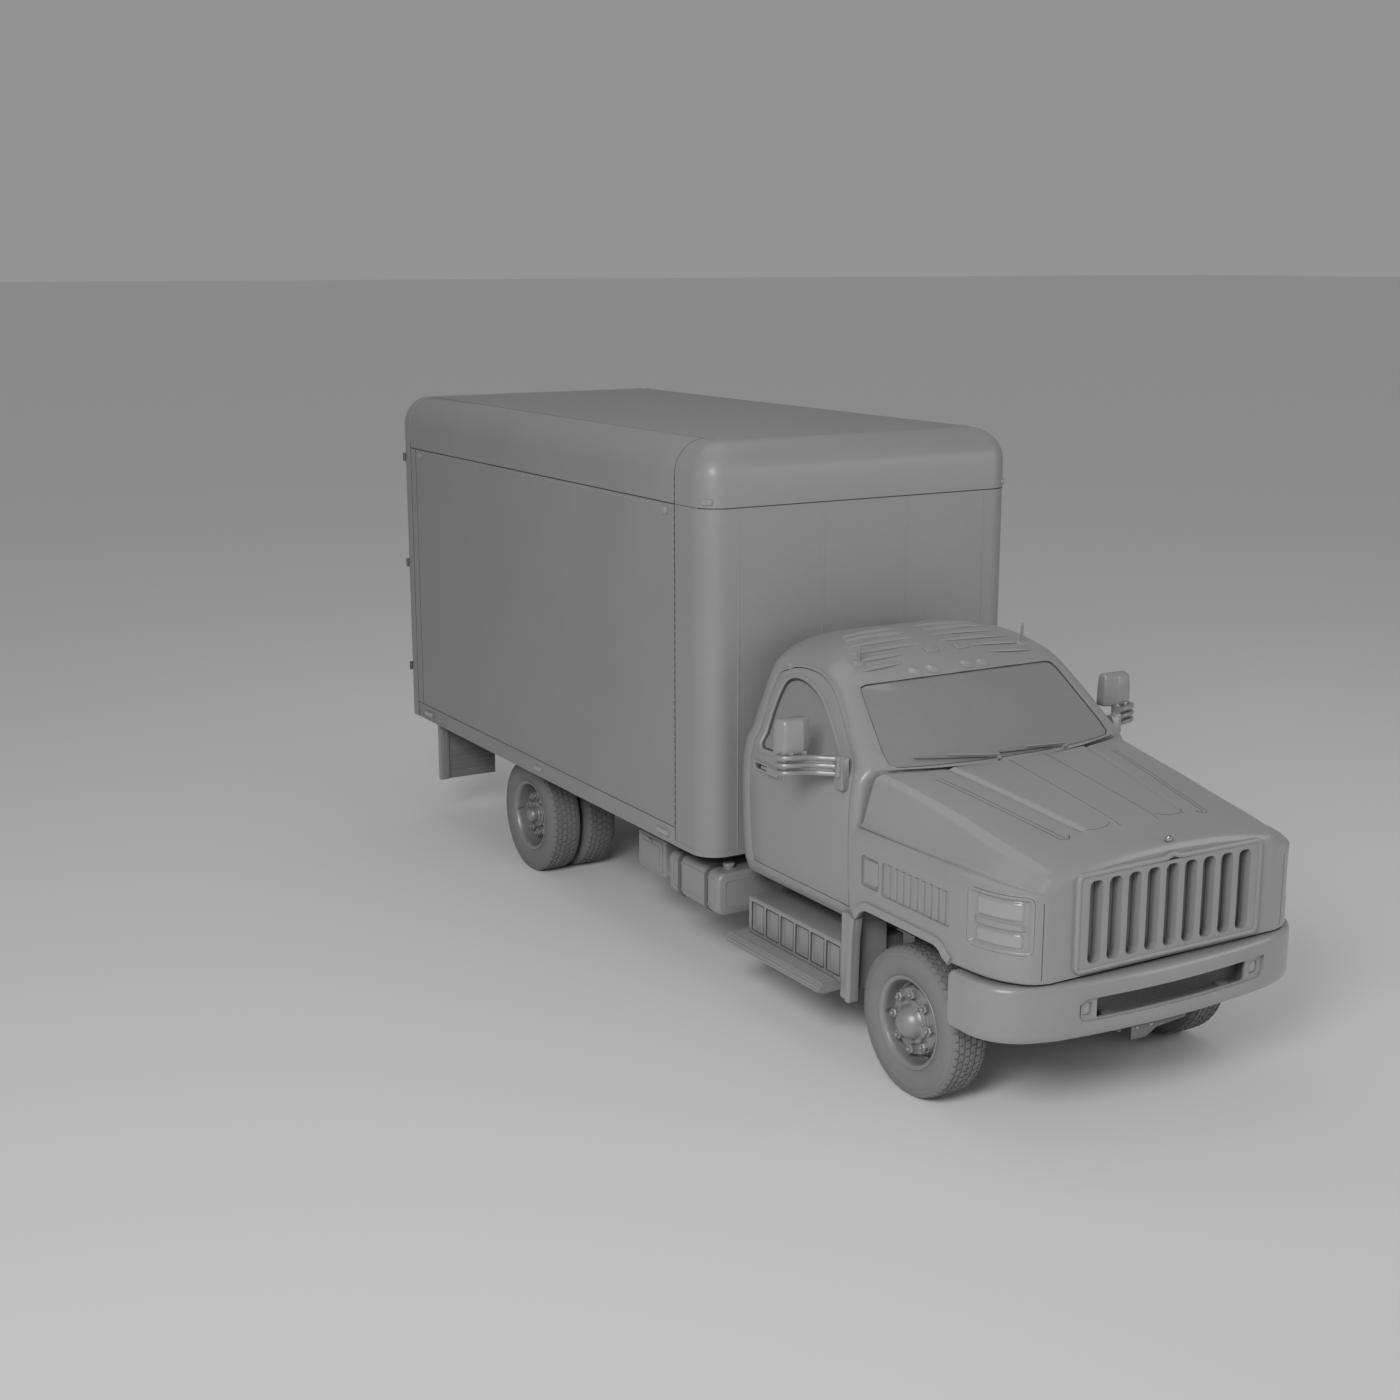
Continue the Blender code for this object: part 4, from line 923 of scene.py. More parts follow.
def makeBumper():
    low, high, sheet = bumper["bottom"], bumper["top"], bumper["sheet"]
    outer = [(0.05, low), (0.018, low + 0.006), (0.006, low + 0.022), (0.001, low + 0.05), (0.0, low + 0.12),
             (0.0, high - 0.05), (0.002, high - 0.028), (0.008, high - 0.013), (0.018, high - 0.004),
             (0.03, high), (0.11, high)]
    inner = [(0.11, high - 0.006), (0.045, high - 0.008), (sheet + 0.006, high - 0.02), (sheet, high - 0.045),
             (sheet, low + 0.05), (sheet + 0.008, low + 0.022), (0.05, low + 0.01)]
    shell = sweep(bumperPath(), outer + inner)
    lowEnd, highEnd = bumper["recess"]
    recess = filleted([(lowEnd[0], lowEnd[1], 0.045), (highEnd[0], lowEnd[1], 0.045), (highEnd[0], highEnd[1], 0.018),
                       (lowEnd[0] + 0.05, highEnd[1], 0.03), (lowEnd[0], highEnd[1] - 0.028, 0.02)], closed=True)
    band = sweep(bumperPath(), rect(-0.05, 0.5, 0.018, 1.0))
    band = boolean(band, panel([recess], "Y", -1.2, -0.9), "INTERSECT")
    shell = boolean(shell, band)
    shell = boolean(shell, panel([roundRect(*bumper["opening"], 0.012)], "Y", -1.2, -0.9))
    for x in bumper["lamps"]:
        pocket = roundRect((x - 0.036, 0.735), (x + 0.036, 0.815), 0.02)
        shell = boolean(shell, panel([pocket], "Y", -1.2, -0.9))
    place("bumperShell", rounded(shell, 0.004), "cabPaint", stands=["front_bumper"], sharp=40)
    (x0, z0), (x1, z1) = bumper["opening"]
    tray = sweep([(x1, -0.985, 0), (x0, -0.985, 0)],
                 [(0.0, z0 - 0.02), (0.062, z0 - 0.02), (0.062, z1 + 0.02), (0.0, z1 + 0.02),
                  (0.0, z1 + 0.012), (0.052, z1 + 0.012), (0.052, z0 - 0.012), (0.0, z0 - 0.012)])
    ends = [box((x - 0.006, -0.985, z0 - 0.02), (x + 0.006, -0.925, z1 + 0.02)) for x in (x0 - 0.012, x1 + 0.012)]
    place("bumperTray", merged(tray, *ends), "chassisPaint")
    lenses, bezels = [], []
    for x in bumper["lamps"]:
        front = bumperFront(x)
        lenses.append(panel([roundRect((x - 0.03, 0.741), (x + 0.03, 0.809), 0.016)], "Y",
                            front + 0.026, front + 0.038, 0.004))
        bezels.append(panel([roundRect((x - 0.042, 0.729), (x + 0.042, 0.821), 0.022),
                             roundRect((x - 0.031, 0.74), (x + 0.031, 0.81), 0.017)[::-1]], "Y",
                            front + 0.019, front + 0.04, 0.001))
    place("bumperLampLenses", merged(*lenses), "lampLens")
    place("bumperLampBezels", merged(*bezels), "cabPaint")
    plate = panel([filleted([(-0.28, 0.535, 0.006), (-0.17, 0.535, 0.01), (-0.1, 0.575, 0.02), (0.12, 0.592, 0.01),
                             (0.12, 0.628, 0.004), (-0.28, 0.628, 0.004)], closed=True)], "Y", -1.012, -1.004, 0.001)
    stays = [box((x - 0.03, -0.99, 0.65), (x + 0.03, -0.782, 0.72), 0.004) for x in (-0.43, 0.43)]
    hooks = [tube([(x, -0.93, 0.66), (x, -1.0, 0.655), (x, -1.015, 0.63), (x, -1.0, 0.606), (x, -0.95, 0.6)], 0.01)
             for x in (-0.36, 0.36)]
    place("bumperStays", merged(plate, *stays, *hooks), "chassisPaint")
    bolts = [stud(0.011, 0.006, 8, (x, -1.012, 0.6), (0, -1, 0)) for x in (-0.24, -0.14)]
    place("bumperPlateBolts", merged(*bolts), "brightTrim")


makeBumper()
print("bumper made")


# Wheels and tyres

tyre = {"half": 0.13, "tread": 0.4378, "groove": 0.4305, "blocks": 54, "rows": (0.1, 0.06, 0.0195),
        "width": (0.03, 0.03, 0.032)}
wheel = {"frontNuts": 8, "frontNutRing": 0.164, "rearNuts": 10, "rearNutRing": 0.148, "holes": 8}


def makeTyre(node):
    side = 1 if middleOf(node).x > 0 else -1
    centre = Vector((middleOf(node).x, 0.0 if "front" in node else rearAxle, wheelRadius))
    half, groove = tyre["half"], tyre["groove"]
    wall = [(0.2619, 0.096), (0.265, 0.106), (0.272, 0.111), (0.2745, 0.1095), (0.279, 0.112), (0.29, 0.118),
            (0.305, 0.1245), (0.322, 0.1285), (0.345, half), (0.368, 0.1295), (0.386, 0.1268), (0.388, 0.125),
            (0.3905, 0.1262), (0.404, 0.1225), (0.415, 0.1175), (0.4165, 0.115), (0.419, 0.1158),
            (0.4265, 0.1085), (0.43, 0.102), (groove, 0.094), (groove, 0.05), (groove + 0.0006, 0.0)]
    profile = wall + [(r, -out) for r, out in reversed(wall[:-1])]
    carcass = turned(profile + profile[:1], centre, side, 96)
    pitch = math.tau * tyre["tread"] / tyre["blocks"]
    unit = bmesh.new()
    for i, spot in enumerate(tyre["rows"]):
        for sign in (-1, 1):
            reach, zig = tyre["width"][i] / 2, 0.008 * sign
            shift = pitch / 2 * ((i + (sign > 0)) % 2)
            length = pitch * 0.42
            outline = [(-length, -reach), (length, -reach), (length + zig, 0.0), (length, reach),
                       (-length, reach), (-length + zig, 0.0)]
            rings = []
            for lift, share in ((-0.01, 1.0), (-0.0016, 0.99), (0.0, 0.9)):
                ring = []
                for along, across in outline:
                    z = sign * spot + across * share
                    drop = 0.16 * max(0.0, abs(z) - 0.08) + 0.9 * max(0.0, abs(z) - 0.106)
                    ring.append(unit.verts.new((lift - drop, shift + along * share, z)))
                rings.append(ring)
            for lower, upper in zip(rings, rings[1:]):
                for k in range(6):
                    unit.faces.new((lower[k], lower[(k + 1) % 6], upper[(k + 1) % 6], upper[k]))
            unit.faces.new(rings[-1])
            unit.faces.new(reversed(rings[0]))
    bmesh.ops.recalc_face_normals(unit, faces=unit.faces)
    blocks = repeat("ring", unit, "tyreRubber", Count=tyre["blocks"], Radius=tyre["tread"], Phase=0.0, Lean=0.0,
                    Centre=tuple(centre), Turn=(0.0, side * math.pi / 2, 0.0))
    place(node + "_treaded", merged(carcass, blocks), "tyreRubber", bodyOf[node], [node], sharp=38)


def hexNut(radius, height, bolt):
    # Nut on a washer with its bolt's end, along +Z
    return merged(upright([(radius * 1.25, -0.01), (radius * 1.25, 0.003)], 16),
                  upright([(radius, 0.0), (radius, height * 0.85), (radius * 0.8, height)], 6),
                  upright([(bolt, height * 0.9), (bolt, height * 1.35), (bolt * 0.6, height * 1.5)], 10))


def ringOf(unit, look, count, radius, centre, out, side, phase=0.0):
    spot = Vector(centre) + Vector((side * out, 0, 0))
    return repeat("ring", unit, look, Count=count, Radius=radius, Phase=phase, Lean=0.0, Centre=tuple(spot),
                  Turn=(0.0, side * math.pi / 2, 0.0))


def makeWheel(node):
    rear = "rear" in node
    end = "rear" if rear else "front"
    side = 1 if node.endswith("left") else -1
    tyreNode = node.replace("rim", "tyre_outer" if rear else "tyre")
    centre = Vector((middleOf(tyreNode).x, rearAxle if rear else 0.0, wheelRadius))
    if rear:
        profile = [(0.0, 0.12), (0.03, 0.119), (0.046, 0.114), (0.054, 0.104), (0.057, 0.09), (0.06, 0.064),
                   (0.066, 0.056), (0.094, 0.053), (0.099, 0.048), (0.101, 0.03), (0.108, 0.022), (0.122, 0.02),
                   (0.16, 0.018), (0.168, 0.012), (0.176, -0.002), (0.192, -0.02), (0.206, -0.034), (0.216, -0.038),
                   (0.226, -0.03), (0.233, -0.008), (0.238, 0.04), (0.2405, 0.078), (0.244, 0.096), (0.25, 0.106),
                   (0.258, 0.1095), (0.264, 0.115), (0.2705, 0.1165), (0.2735, 0.114), (0.2725, 0.1105),
                   (0.2617, 0.102), (0.2617, -0.11), (0.215, -0.1), (0.215, -0.2), (0.2617, -0.19),
                   (0.2617, -0.41), (0.23, -0.41), (0.215, -0.33), (0.185, -0.235), (0.1, -0.235),
                   (0.1, -0.28),
                   (0.0, -0.28)]
    else:
        profile = [(0.0, 0.176), (0.014, 0.174), (0.036, 0.167), (0.06, 0.155), (0.08, 0.137), (0.094, 0.114),
                   (0.1, 0.094), (0.106, 0.088), (0.122, 0.086), (0.128, 0.081), (0.131, 0.07), (0.137, 0.066),
                   (0.19, 0.064), (0.197, 0.058), (0.204, 0.042), (0.211, 0.024), (0.218, 0.016), (0.226, 0.018),
                   (0.233, 0.03), (0.237, 0.056), (0.24, 0.08), (0.244, 0.096), (0.25, 0.106), (0.258, 0.1095),
                   (0.264, 0.115), (0.2705, 0.1165), (0.2735, 0.114), (0.2725, 0.1105), (0.2617, 0.102),
                   (0.2617, -0.11), (0.236, -0.11), (0.23, -0.03), (0.215, -0.014), (0.2, -0.006),
                   (0.196, -0.096), (0.178, -0.096), (0.174, 0.03), (0.13, 0.036), (0.06, 0.036), (0.06, -0.02),
                   (0.0, -0.02)]
    disc = turned(profile, centre, side, 96)
    hole = ringOf(upright([(0.0185, -0.045 if rear else -0.05), (0.0185, 0.06)], 14), "wheelEnamel", wheel["holes"],
                  0.203 if rear else 0.211,
                  centre, -0.02 if rear else 0.0, side, math.pi / 8)
    disc = boolean(disc, hole)
    place(node + "_dished", rounded(disc, 0.0025, 2, 50), "wheelEnamel", bodyOf[node], [node], sharp=30)
    nuts = ringOf(hexNut(0.0285, 0.034, 0.0125), "wheelEnamel", wheel[end + "Nuts"], wheel[end + "NutRing"],
                  centre, 0.018 if rear else 0.064, side)
    studs = ringOf(hexNut(0.01, 0.012, 0.005), "wheelEnamel", 8, 0.08 if rear else 0.114, centre,
                   0.054 if rear else 0.087, side, 0.2)
    valve = tube([centre + Vector((side * a, b, 0)) for a, b in ((0.05, 0.236), (0.08, 0.232), (0.1, 0.222),
                                                                  (0.118, 0.22))], 0.0045, 8)
    place(node + "_nuts", merged(nuts, studs, valve), "wheelEnamel", bodyOf[node], sharp=35)


for name, side in sides:
    for node in ("front_tyre_", "rear_tyre_outer_", "rear_tyre_inner_"):
        makeTyre(node + name.lower())
    for node in ("front_rim_", "rear_rim_"):
        makeWheel(node + name.lower())
    hub = Vector((side * middleOf("front_tyre_left").x, 0, wheelRadius))
    backing = turned([(0.056, -0.092), (0.15, -0.09), (0.168, -0.083), (0.171, -0.087), (0.152, -0.097),
                      (0.056, -0.099), (0.056, -0.092)], hub, side, 48)
    chamber = turned([(0.0, 0.0), (0.045, 0.0), (0.05, -0.008), (0.05, -0.05), (0.044, -0.06), (0.0, -0.062)],
                     hub + Vector((-side * 0.1, -0.1, 0.02)), side, 24)
    place("brakePlate" + name, merged(backing, chamber), "chassisPaint", "steer_" + name.lower())
print("wheels and tyres made")


# Cab

cab = {
    # height, half width, front, rear, forward bow of the front, rear corner radius
    "lower": [(0.865, 1.0, 0.53, 1.855, 0.0, 0.12), (0.955, 1.035, 0.53, 1.865, 0.0, 0.14),
              (1.35, 1.05, 0.53, 1.875, 0.0, 0.14), (1.62, 1.045, 0.53, 1.875, 0.0, 0.14),
              (1.74, 1.02, 0.53, 1.87, 0.0, 0.14)],
    "upper": [(1.795, 0.985, 0.54, 1.865, 0.24, 0.14), (2.0, 0.925, 0.765, 1.845, 0.18, 0.15),
              (2.205, 0.86, 1.0, 1.815, 0.13, 0.16), (2.285, 0.8, 1.14, 1.785, 0.11, 0.18),
              (2.345, 0.69, 1.29, 1.735, 0.09, 0.17), (2.385, 0.5, 1.4, 1.655, 0.05, 0.08),
              (2.4, 0.24, 1.46, 1.6, 0.02, 0.03)],
    "door": [(1.66, 0.955), (1.676, 1.15), (1.685, 1.35), (1.685, 1.72), (1.635, 2.12), (1.55, 2.2), (1.42, 2.235),
             (1.24, 2.235), (1.11, 2.205), (1.0, 2.145), (0.83, 1.995), (0.655, 1.8), (0.612, 1.72),
             (0.6, 1.64), (0.6, 1.3), (0.6, 0.955)],
    "window": [(1.603, 1.76), (1.59, 1.92), (1.568, 2.04), (1.53, 2.125), (1.46, 2.162), (1.37, 2.168), (1.27, 2.15),
               (1.15, 2.105), (1.03, 2.022), (0.91, 1.918), (0.815, 1.822), (0.774, 1.768)],
    "screen": [(0.0, 1.812), (0.25, 1.81), (0.5, 1.806), (0.72, 1.802), (0.8, 1.802), (0.838, 1.818),
               (0.838, 1.87), (0.802, 2.0), (0.762, 2.15), (0.742, 2.187), (0.7, 2.199), (0.35, 2.212), (0.0, 2.216)],
    "wall": 0.05, "gap": 0.006,
}


def cabLevel(z):
    table = cab["lower"] if z < 1.76 else cab["upper"]
    return smoothTable(table, [z])[0][1:]


def cabRing(z, inset):
    half, front, rear, bow, corner = cabLevel(z)
    half, front, rear = half - inset, front + inset, rear - inset
    corner = min(max(corner - inset / 2, 0.03), (rear - front) / 2 - 0.01)
    nose = min(0.05 + 0.05 * ease(1.9, 2.2, z), half * 0.4)
    ring = [((half - nose) * i / 12, front) for i in range(12)]
    ring += arc((half - nose, front + nose), nose, -90, 0, 5)
    ring += [(half, front + nose + (rear - corner - front - nose) * i / 4) for i in range(1, 4)]
    ring += arc((half - corner, rear - corner), corner, 0, 90, 7)
    ring += [((half - corner) * i / 5, rear) for i in (4, 3, 2, 1)] + [(0.0, rear)]
    ring += [(-x, y) for x, y in reversed(ring[1:-1])]
    lift = inset if z < 0.87 else -inset * ease(2.0, 2.36, z)
    return [(x, y - bow * max(0.0, 1 - (x / half) ** 2) * (1 - ease(front + nose, front + 0.2, y)), z + lift)
            for x, y in ring]


def cabSolid(inset):
    spots = [0.865, 0.9, 0.955, 1.05, 1.2, 1.35, 1.5, 1.62, 1.7, 1.74]
    spots += [1.795 + 0.605 * (i / 34) ** 0.85 for i in range(35)]
    return loft([cabRing(z, inset) for z in spots])


def moved(outline, gap):
    # The outline inwards by a gap
    count = len(outline)
    area = sum(outline[i - 1][0] * outline[i][1] - outline[i][0] * outline[i - 1][1] for i in range(count))
    turn = 1 if area > 0 else -1
    result = []
    for i in range(count):
        before, here, after = (Vector(outline[j % count]) for j in (i - 1, i, i + 1))
        a, b = (here - before).normalized(), (after - here).normalized()
        normal = Vector((-a.y - b.y, a.x + b.x)) * turn / max(0.4, 1 + a.dot(b))
        result.append(tuple(here + normal * gap))
    return result


doorLine = [(max(p.x, 0.6), p.y) for p in smoothLine([(y, z, 0) for y, z in cab["door"]], 4)]
windowLine = [tuple(p)[:2] for p in smoothLine([(y, z, 0) for y, z in cab["window"]], 4)]
windowLine += filleted([(0.772, 1.77, 0), (0.77, 1.735, 0.025), (1.6, 1.705, 0.035), (1.603, 1.76, 0)], 5)[1:-1]
screenLine = cab["screen"] + [(-x, z) for x, z in reversed(cab["screen"][1:-1])]
cabSkin = cabSolid(0.0)
bmesh.ops.triangulate(cabSkin, faces=cabSkin.faces)
cabTree = BVHTree.FromBMesh(cabSkin)


def onCab(spot, direction):
    # Point and outward normal where a line meets the cab's skin
    return cabTree.ray_cast(Vector(spot), Vector(direction))[:2]


def onRoof(x, y, lift=0.0):
    point, normal = onCab((x, y, 3.2), (0, 0, -1))
    return point + normal * lift, normal


def onDoor(y, z, side, lift=0.0):
    point, normal = onCab((side * 2.0, y, z), (-side, 0, 0))
    return point + normal * lift, normal


def onScreen(x, z, lift=0.0):
    point, normal = onCab((x, -2.0, z), (0, 1, 0))
    return point + normal * lift, normal


def throughSide(outline, side, start=0.7):
    # The outline as a block right through one side of the cab
    return panel([outline], "X", *sorted((side * start, side * 1.3)))


def glassSheet(inset, region):
    return boolean(boolean(cabSolid(inset), cabSolid(inset + 0.008)), region, "INTERSECT")


def makeCab():
    wall = cab["wall"]
    shell = boolean(cabSolid(0.0), cabSolid(wall))
    shell = boolean(shell, panel([screenLine], "Y", -0.1, 1.15))
    for name, side in sides:
        body = "cab_door_" + name.lower()
        door = boolean(shell.copy(), throughSide(moved(doorLine, cab["gap"]), side), "INTERSECT")
        door = boolean(door, throughSide(windowLine, side))
        door = boolean(door, throughSide(roundRect((1.335, 1.578), (1.625, 1.616), 0.016), side, 1.022))
        place("doorSkin" + name, rounded(door, 0.003, 2, 45), "cabPaint", body, ["door_" + name.lower()], sharp=35)
        glass = glassSheet(0.018, throughSide(moved(windowLine, 0.002), side))
        place("doorGlass" + name, glass, "greyGlass", body, ["door_glass_" + name.lower()])
        path = [onDoor(y, z, side, 0.0)[0] for y, z in moved(windowLine, -0.012)]
        frameBead = sweep(path, [(-0.015, -0.012), (0.013, -0.012), (0.013, 0.001), (0.006, 0.007), (-0.006, 0.007),
                                 (-0.015, 0.001)], True, (side, 0, 0))
        place("windowFrame" + name, frameBead, "cabPaint", body)
        path = [onDoor(y, z, side, -0.014)[0] for y, z in moved(windowLine, 0.004)]
        place("windowSeal" + name, tube(path, 0.007, 8, True, (side, 0, 0)), "darkSeam", body)
    for side in (1, -1):
        shell = boolean(shell, throughSide(moved(doorLine, 0.0), side))
    place("cabShell", rounded(shell, 0.003, 2, 45), "cabPaint",
          stands=["cab_back", "cab_roof", "firewall", "cab_floor"], sharp=35)
    screen = glassSheet(0.008, panel([moved(screenLine, 0.002)], "Y", -0.1, 1.15))
    place("windshieldGlass", screen, "greyGlass", stands=["windshield"])
    path = [onScreen(x, z, -0.006)[0] for x, z in screenLine]
    place("windshieldSeal", tube(path, 0.0055, 8, True, (0, -0.7, 0.7)), "darkSeam")
    print("cab shell, doors and glass made")


def makeDoorTrim():
    for name, side in sides:
        body = "cab_door_" + name.lower()
        x = onDoor(1.48, 1.597, side)[0].x * side
        outer, inner = roundRect((1.322, 1.566), (1.638, 1.628), 0.024), roundRect((1.338, 1.58), (1.622, 1.614),
                                                                                   0.015)
        surround = onSide(panel([outer, inner[::-1]], "X", x - 0.01, x + 0.011, 0.003), side)
        # A near-black sheet at the back of the handle recess: painted shade in the well
        wellShade = onSide(panel([roundRect((1.336, 1.579), (1.624, 1.615), 0.016)], "X", x - 0.021, x - 0.014), side)
        place("handleWell" + name, wellShade, "darkSeam", body)
        grip = onSide(panel([roundRect((1.335, 1.57), (1.47, 1.624), 0.022)], "X", x - 0.002, x + 0.03, 0.011, 3),
                      side)
        tongue = onSide(box((1.028, 1.46, 1.588), (x + 0.008, 1.555, 1.606), 0.003), side)
        place("doorHandle" + name, merged(surround, grip, tongue), "cabPaint", body, sharp=40)
        lock = turned([(0.0, 0.004), (0.009, 0.004), (0.0115, 0.002), (0.0115, -0.01), (0.0, -0.01)],
                      (side * (x - 0.004), 1.596, 1.597), side, 20)
        place("doorLock" + name, lock, "darkSeam", body)
        # Gutter above the door, on the roof
        path = [onDoor(y, z, side, 0.002)[0] for y, z in moved(doorLine, -0.022)
                if z > 1.86 and 0.66 < y < 1.8]
        place("roofGutter" + name, sweep(path, circle(0.0065, 8, 0.8), False, (side, 0, 0)), "cabPaint")
        # Door jamb seal, seen when the door stands open
        path = [onDoor(y, z, side, -0.04)[0] for y, z in moved(doorLine, -0.004)]
        place("doorwaySeal" + name, tube(path, 0.008, 8, True, (side, 0, 0)), "darkSeam")
        hinges = [onSide(box((1.028, 0.588, z - 0.035), (1.044, 0.622, z + 0.035), 0.004), side) for z in (1.1, 1.52)]
        place("doorHinges" + name, merged(*hinges), "cabPaint", body)
        card = panel([filleted([(0.7, 1.02, 0.04), (1.58, 1.02, 0.04), (1.6, 1.6, 0.05), (0.72, 1.62, 0.05)], 4,
                               True)],
                     "X", 0.965, 0.983, 0.006)
        rest = box((0.915, 1.0, 1.34), (0.97, 1.45, 1.4), 0.018, 3)
        crank = tube([(0.968, 0.9, 1.3), (0.945, 0.9, 1.3), (0.938, 0.9, 1.36), (0.925, 0.9, 1.37),
                      (0.905, 0.9, 1.37)], 0.008)
        pull = tube([(0.968, 1.16, 1.5), (0.945, 1.17, 1.5), (0.94, 1.2, 1.5), (0.945, 1.23, 1.5),
                     (0.968, 1.24, 1.5)], 0.007)
        place("doorCard" + name, onSide(merged(card, rest, crank, pull), side), "cabTrim", body, sharp=40)
    print("door handles, gutters and cards made")


mirror = {"head": ((1.14, 0.805, 1.862), (1.362, 0.948, 2.066)), "bars": (1.755, 1.8, 1.845)}


def makeMirrors():
    for name, side in sides:
        body = "cab_door_" + name.lower()
        rings = []
        for z, back, wide, front in ((1.858, 0.0, 0.95, 0.72), (1.866, 0.0, 1.0, 0.8), (1.9, 0.0, 1.0, 0.86),
                                     (1.98, 0.002, 0.985, 0.84), (2.04, 0.004, 0.955, 0.78), (2.058, 0.006, 0.93, 0.7),
                                     (2.066, 0.012, 0.86, 0.52)):
            middle, half, deep = 1.25, 0.11 * wide, 0.143 * front
            y1 = 0.948 - back
            outline = filleted([(middle - half, y1, 0.012), (middle - half, y1 - deep * 0.6, 0.022),
                                (middle - half * 0.25, y1 - deep, 0.02),
                                (middle + half * 0.85, y1 - deep * 0.85, 0.03),
                                (middle + half, y1 - deep * 0.35, 0.022), (middle + half, y1, 0.012)], 4, True)
            rings.append([(x, y, z) for x, y in outline])
        head = boolean(loft(rings), box((1.155, 0.938, 1.875), (1.345, 0.97, 2.05), 0.0))
        place("mirrorHead" + name, onSide(rounded(head, 0.003, 2, 50), side), "cabPaint", body,
              ["mirror_" + name.lower()], sharp=40)
        glass = onSide(panel([roundRect((1.158, 1.878), (1.342, 2.044), 0.012)], "Y", 0.931, 0.94, 0.0015), side)
        place("mirrorGlass" + name, glass, "brightTrim", body)
        bars = []
        for z in mirror["bars"]:
            path = smoothLine([(1.052, 0.682, z), (1.085, 0.7, z), (1.15, 0.762, z), (1.215, 0.796, z + 0.004),
                               (1.3, 0.815, z + 0.006), (1.352, 0.845, z + 0.006), (1.366, 0.895, z + 0.006)], 4)
            bars.append(sweep(path, filleted([(-0.018, -0.014, 0.005), (0.018, -0.014, 0.005), (0.022, 0.0, 0.006),
                                              (0.018, 0.014, 0.005), (-0.018, 0.014, 0.005)], 2, True)))
        web = sweep([(1.06, 0.686, 1.8), (1.15, 0.766, 1.8), (1.215, 0.806, 1.8), (1.32, 0.842, 1.8)],
                    rect(-0.01, -0.045, 0.01, 0.055))
        posts = [box((1.2, 0.822, 1.76), (1.23, 0.868, 1.88), 0.006),
                 box((1.285, 0.835, 1.76), (1.315, 0.875, 1.88), 0.006)]
        foot = panel([filleted([(0.632, 1.655, 0.015), (0.722, 1.665, 0.015), (0.722, 1.85, 0.02),
                                (0.65, 1.862, 0.02)], 3, True)],
                     "X", 1.018, 1.078, 0.008, 3)
        clamp = box((1.045, 0.65, 1.735), (1.098, 0.712, 1.865), 0.012, 3)
        place("mirrorArm" + name, onSide(merged(web, foot, clamp, *posts, *bars), side), "wheelEnamel", body, sharp=40)
    print("mirrors made")


def roofRib(start, end, y):
    steps = 12
    path = [onRoof(start + (end - start) * i / steps, y, -0.003)[0] for i in range(steps + 1)]
    rings = []
    for i, here in enumerate(path):
        swell = math.sin(math.pi * min(1, max(0, (i + 0.15) / (steps + 0.3)))) ** 0.35
        rings.append([here + Vector((0, 0.025 * swell * math.cos(math.pi * k / 6),
                                     0.019 * swell * math.sin(math.pi * k / 6)))
                      for k in range(7)] + [here - Vector((0, 0, 0.01))])
    return loft(rings)


def makeRoof():
    ribs = []
    for k, y in enumerate((1.045, 1.13, 1.215, 1.3, 1.385, 1.47)):
        reach = 0.66 - 0.035 * max(0, k - 1)
        near = 0.3 if k < 1 else 0.21 if k < 2 else 0.045
        ribs += [roofRib(-reach, -near - 0.06, y), roofRib(near, reach, y)]
    place("roofRibs", merged(*ribs), "cabPaint", sharp=60)
    bezels, lenses = [], []
    for x, y in ((-0.33, 0.95), (-0.195, 0.95), (0.066, 0.95), (0.19, 0.95)):
        spot, normal = onRoof(x, y)
        bezels.append(stud(0.05, 0.007, 20, spot, normal))
        lenses.append(stud(0.041, 0.011, 20, spot, normal))
    for side in (-1, 1):
        spot, normal = onDoor(1.536, 2.226, side)
        lenses.append(stud(0.021, 0.02, 16, spot, normal))
        bezels.append(stud(0.028, 0.006, 16, spot, normal))
    place("roofLampLenses", merged(*lenses), "lampLens")
    for x, y in ((-0.08, 1.12), (0.15, 1.12)):
        spot, normal = onRoof(x, y)
        pad = panel([roundRect((-0.048, -0.028), (0.048, 0.028), 0.016, 4)], "Z", -0.01, 0.01, 0.004)
        turn = normal.to_track_quat("Z", "X").to_matrix().to_4x4() @ Matrix.Rotation(math.pi / 2, 4, "Z")
        bezels.append(shifted(shaped(pad, turn), spot))
    place("roofLampBezels", merged(*bezels), "cabPaint", sharp=40)
    for name, side in sides:
        spot, normal = onRoof(side * 0.635, 1.115)
        foot = stud(0.04, 0.014, 20, spot, normal)
        lean = Vector((-0.022, -0.035, 0.135))
        stalk = loft([[spot + lean * (i / 6) + Vector((x, y, 0)) for x, y in circle(radius, 10)]
                      for i, radius in enumerate((0.014, 0.011, 0.0105, 0.01, 0.0095, 0.009, 0.005))])
        place("antenna" + name, merged(foot, stalk), "cabPaint", sharp=40)
    print("roof ribs, lamps and antennas made")


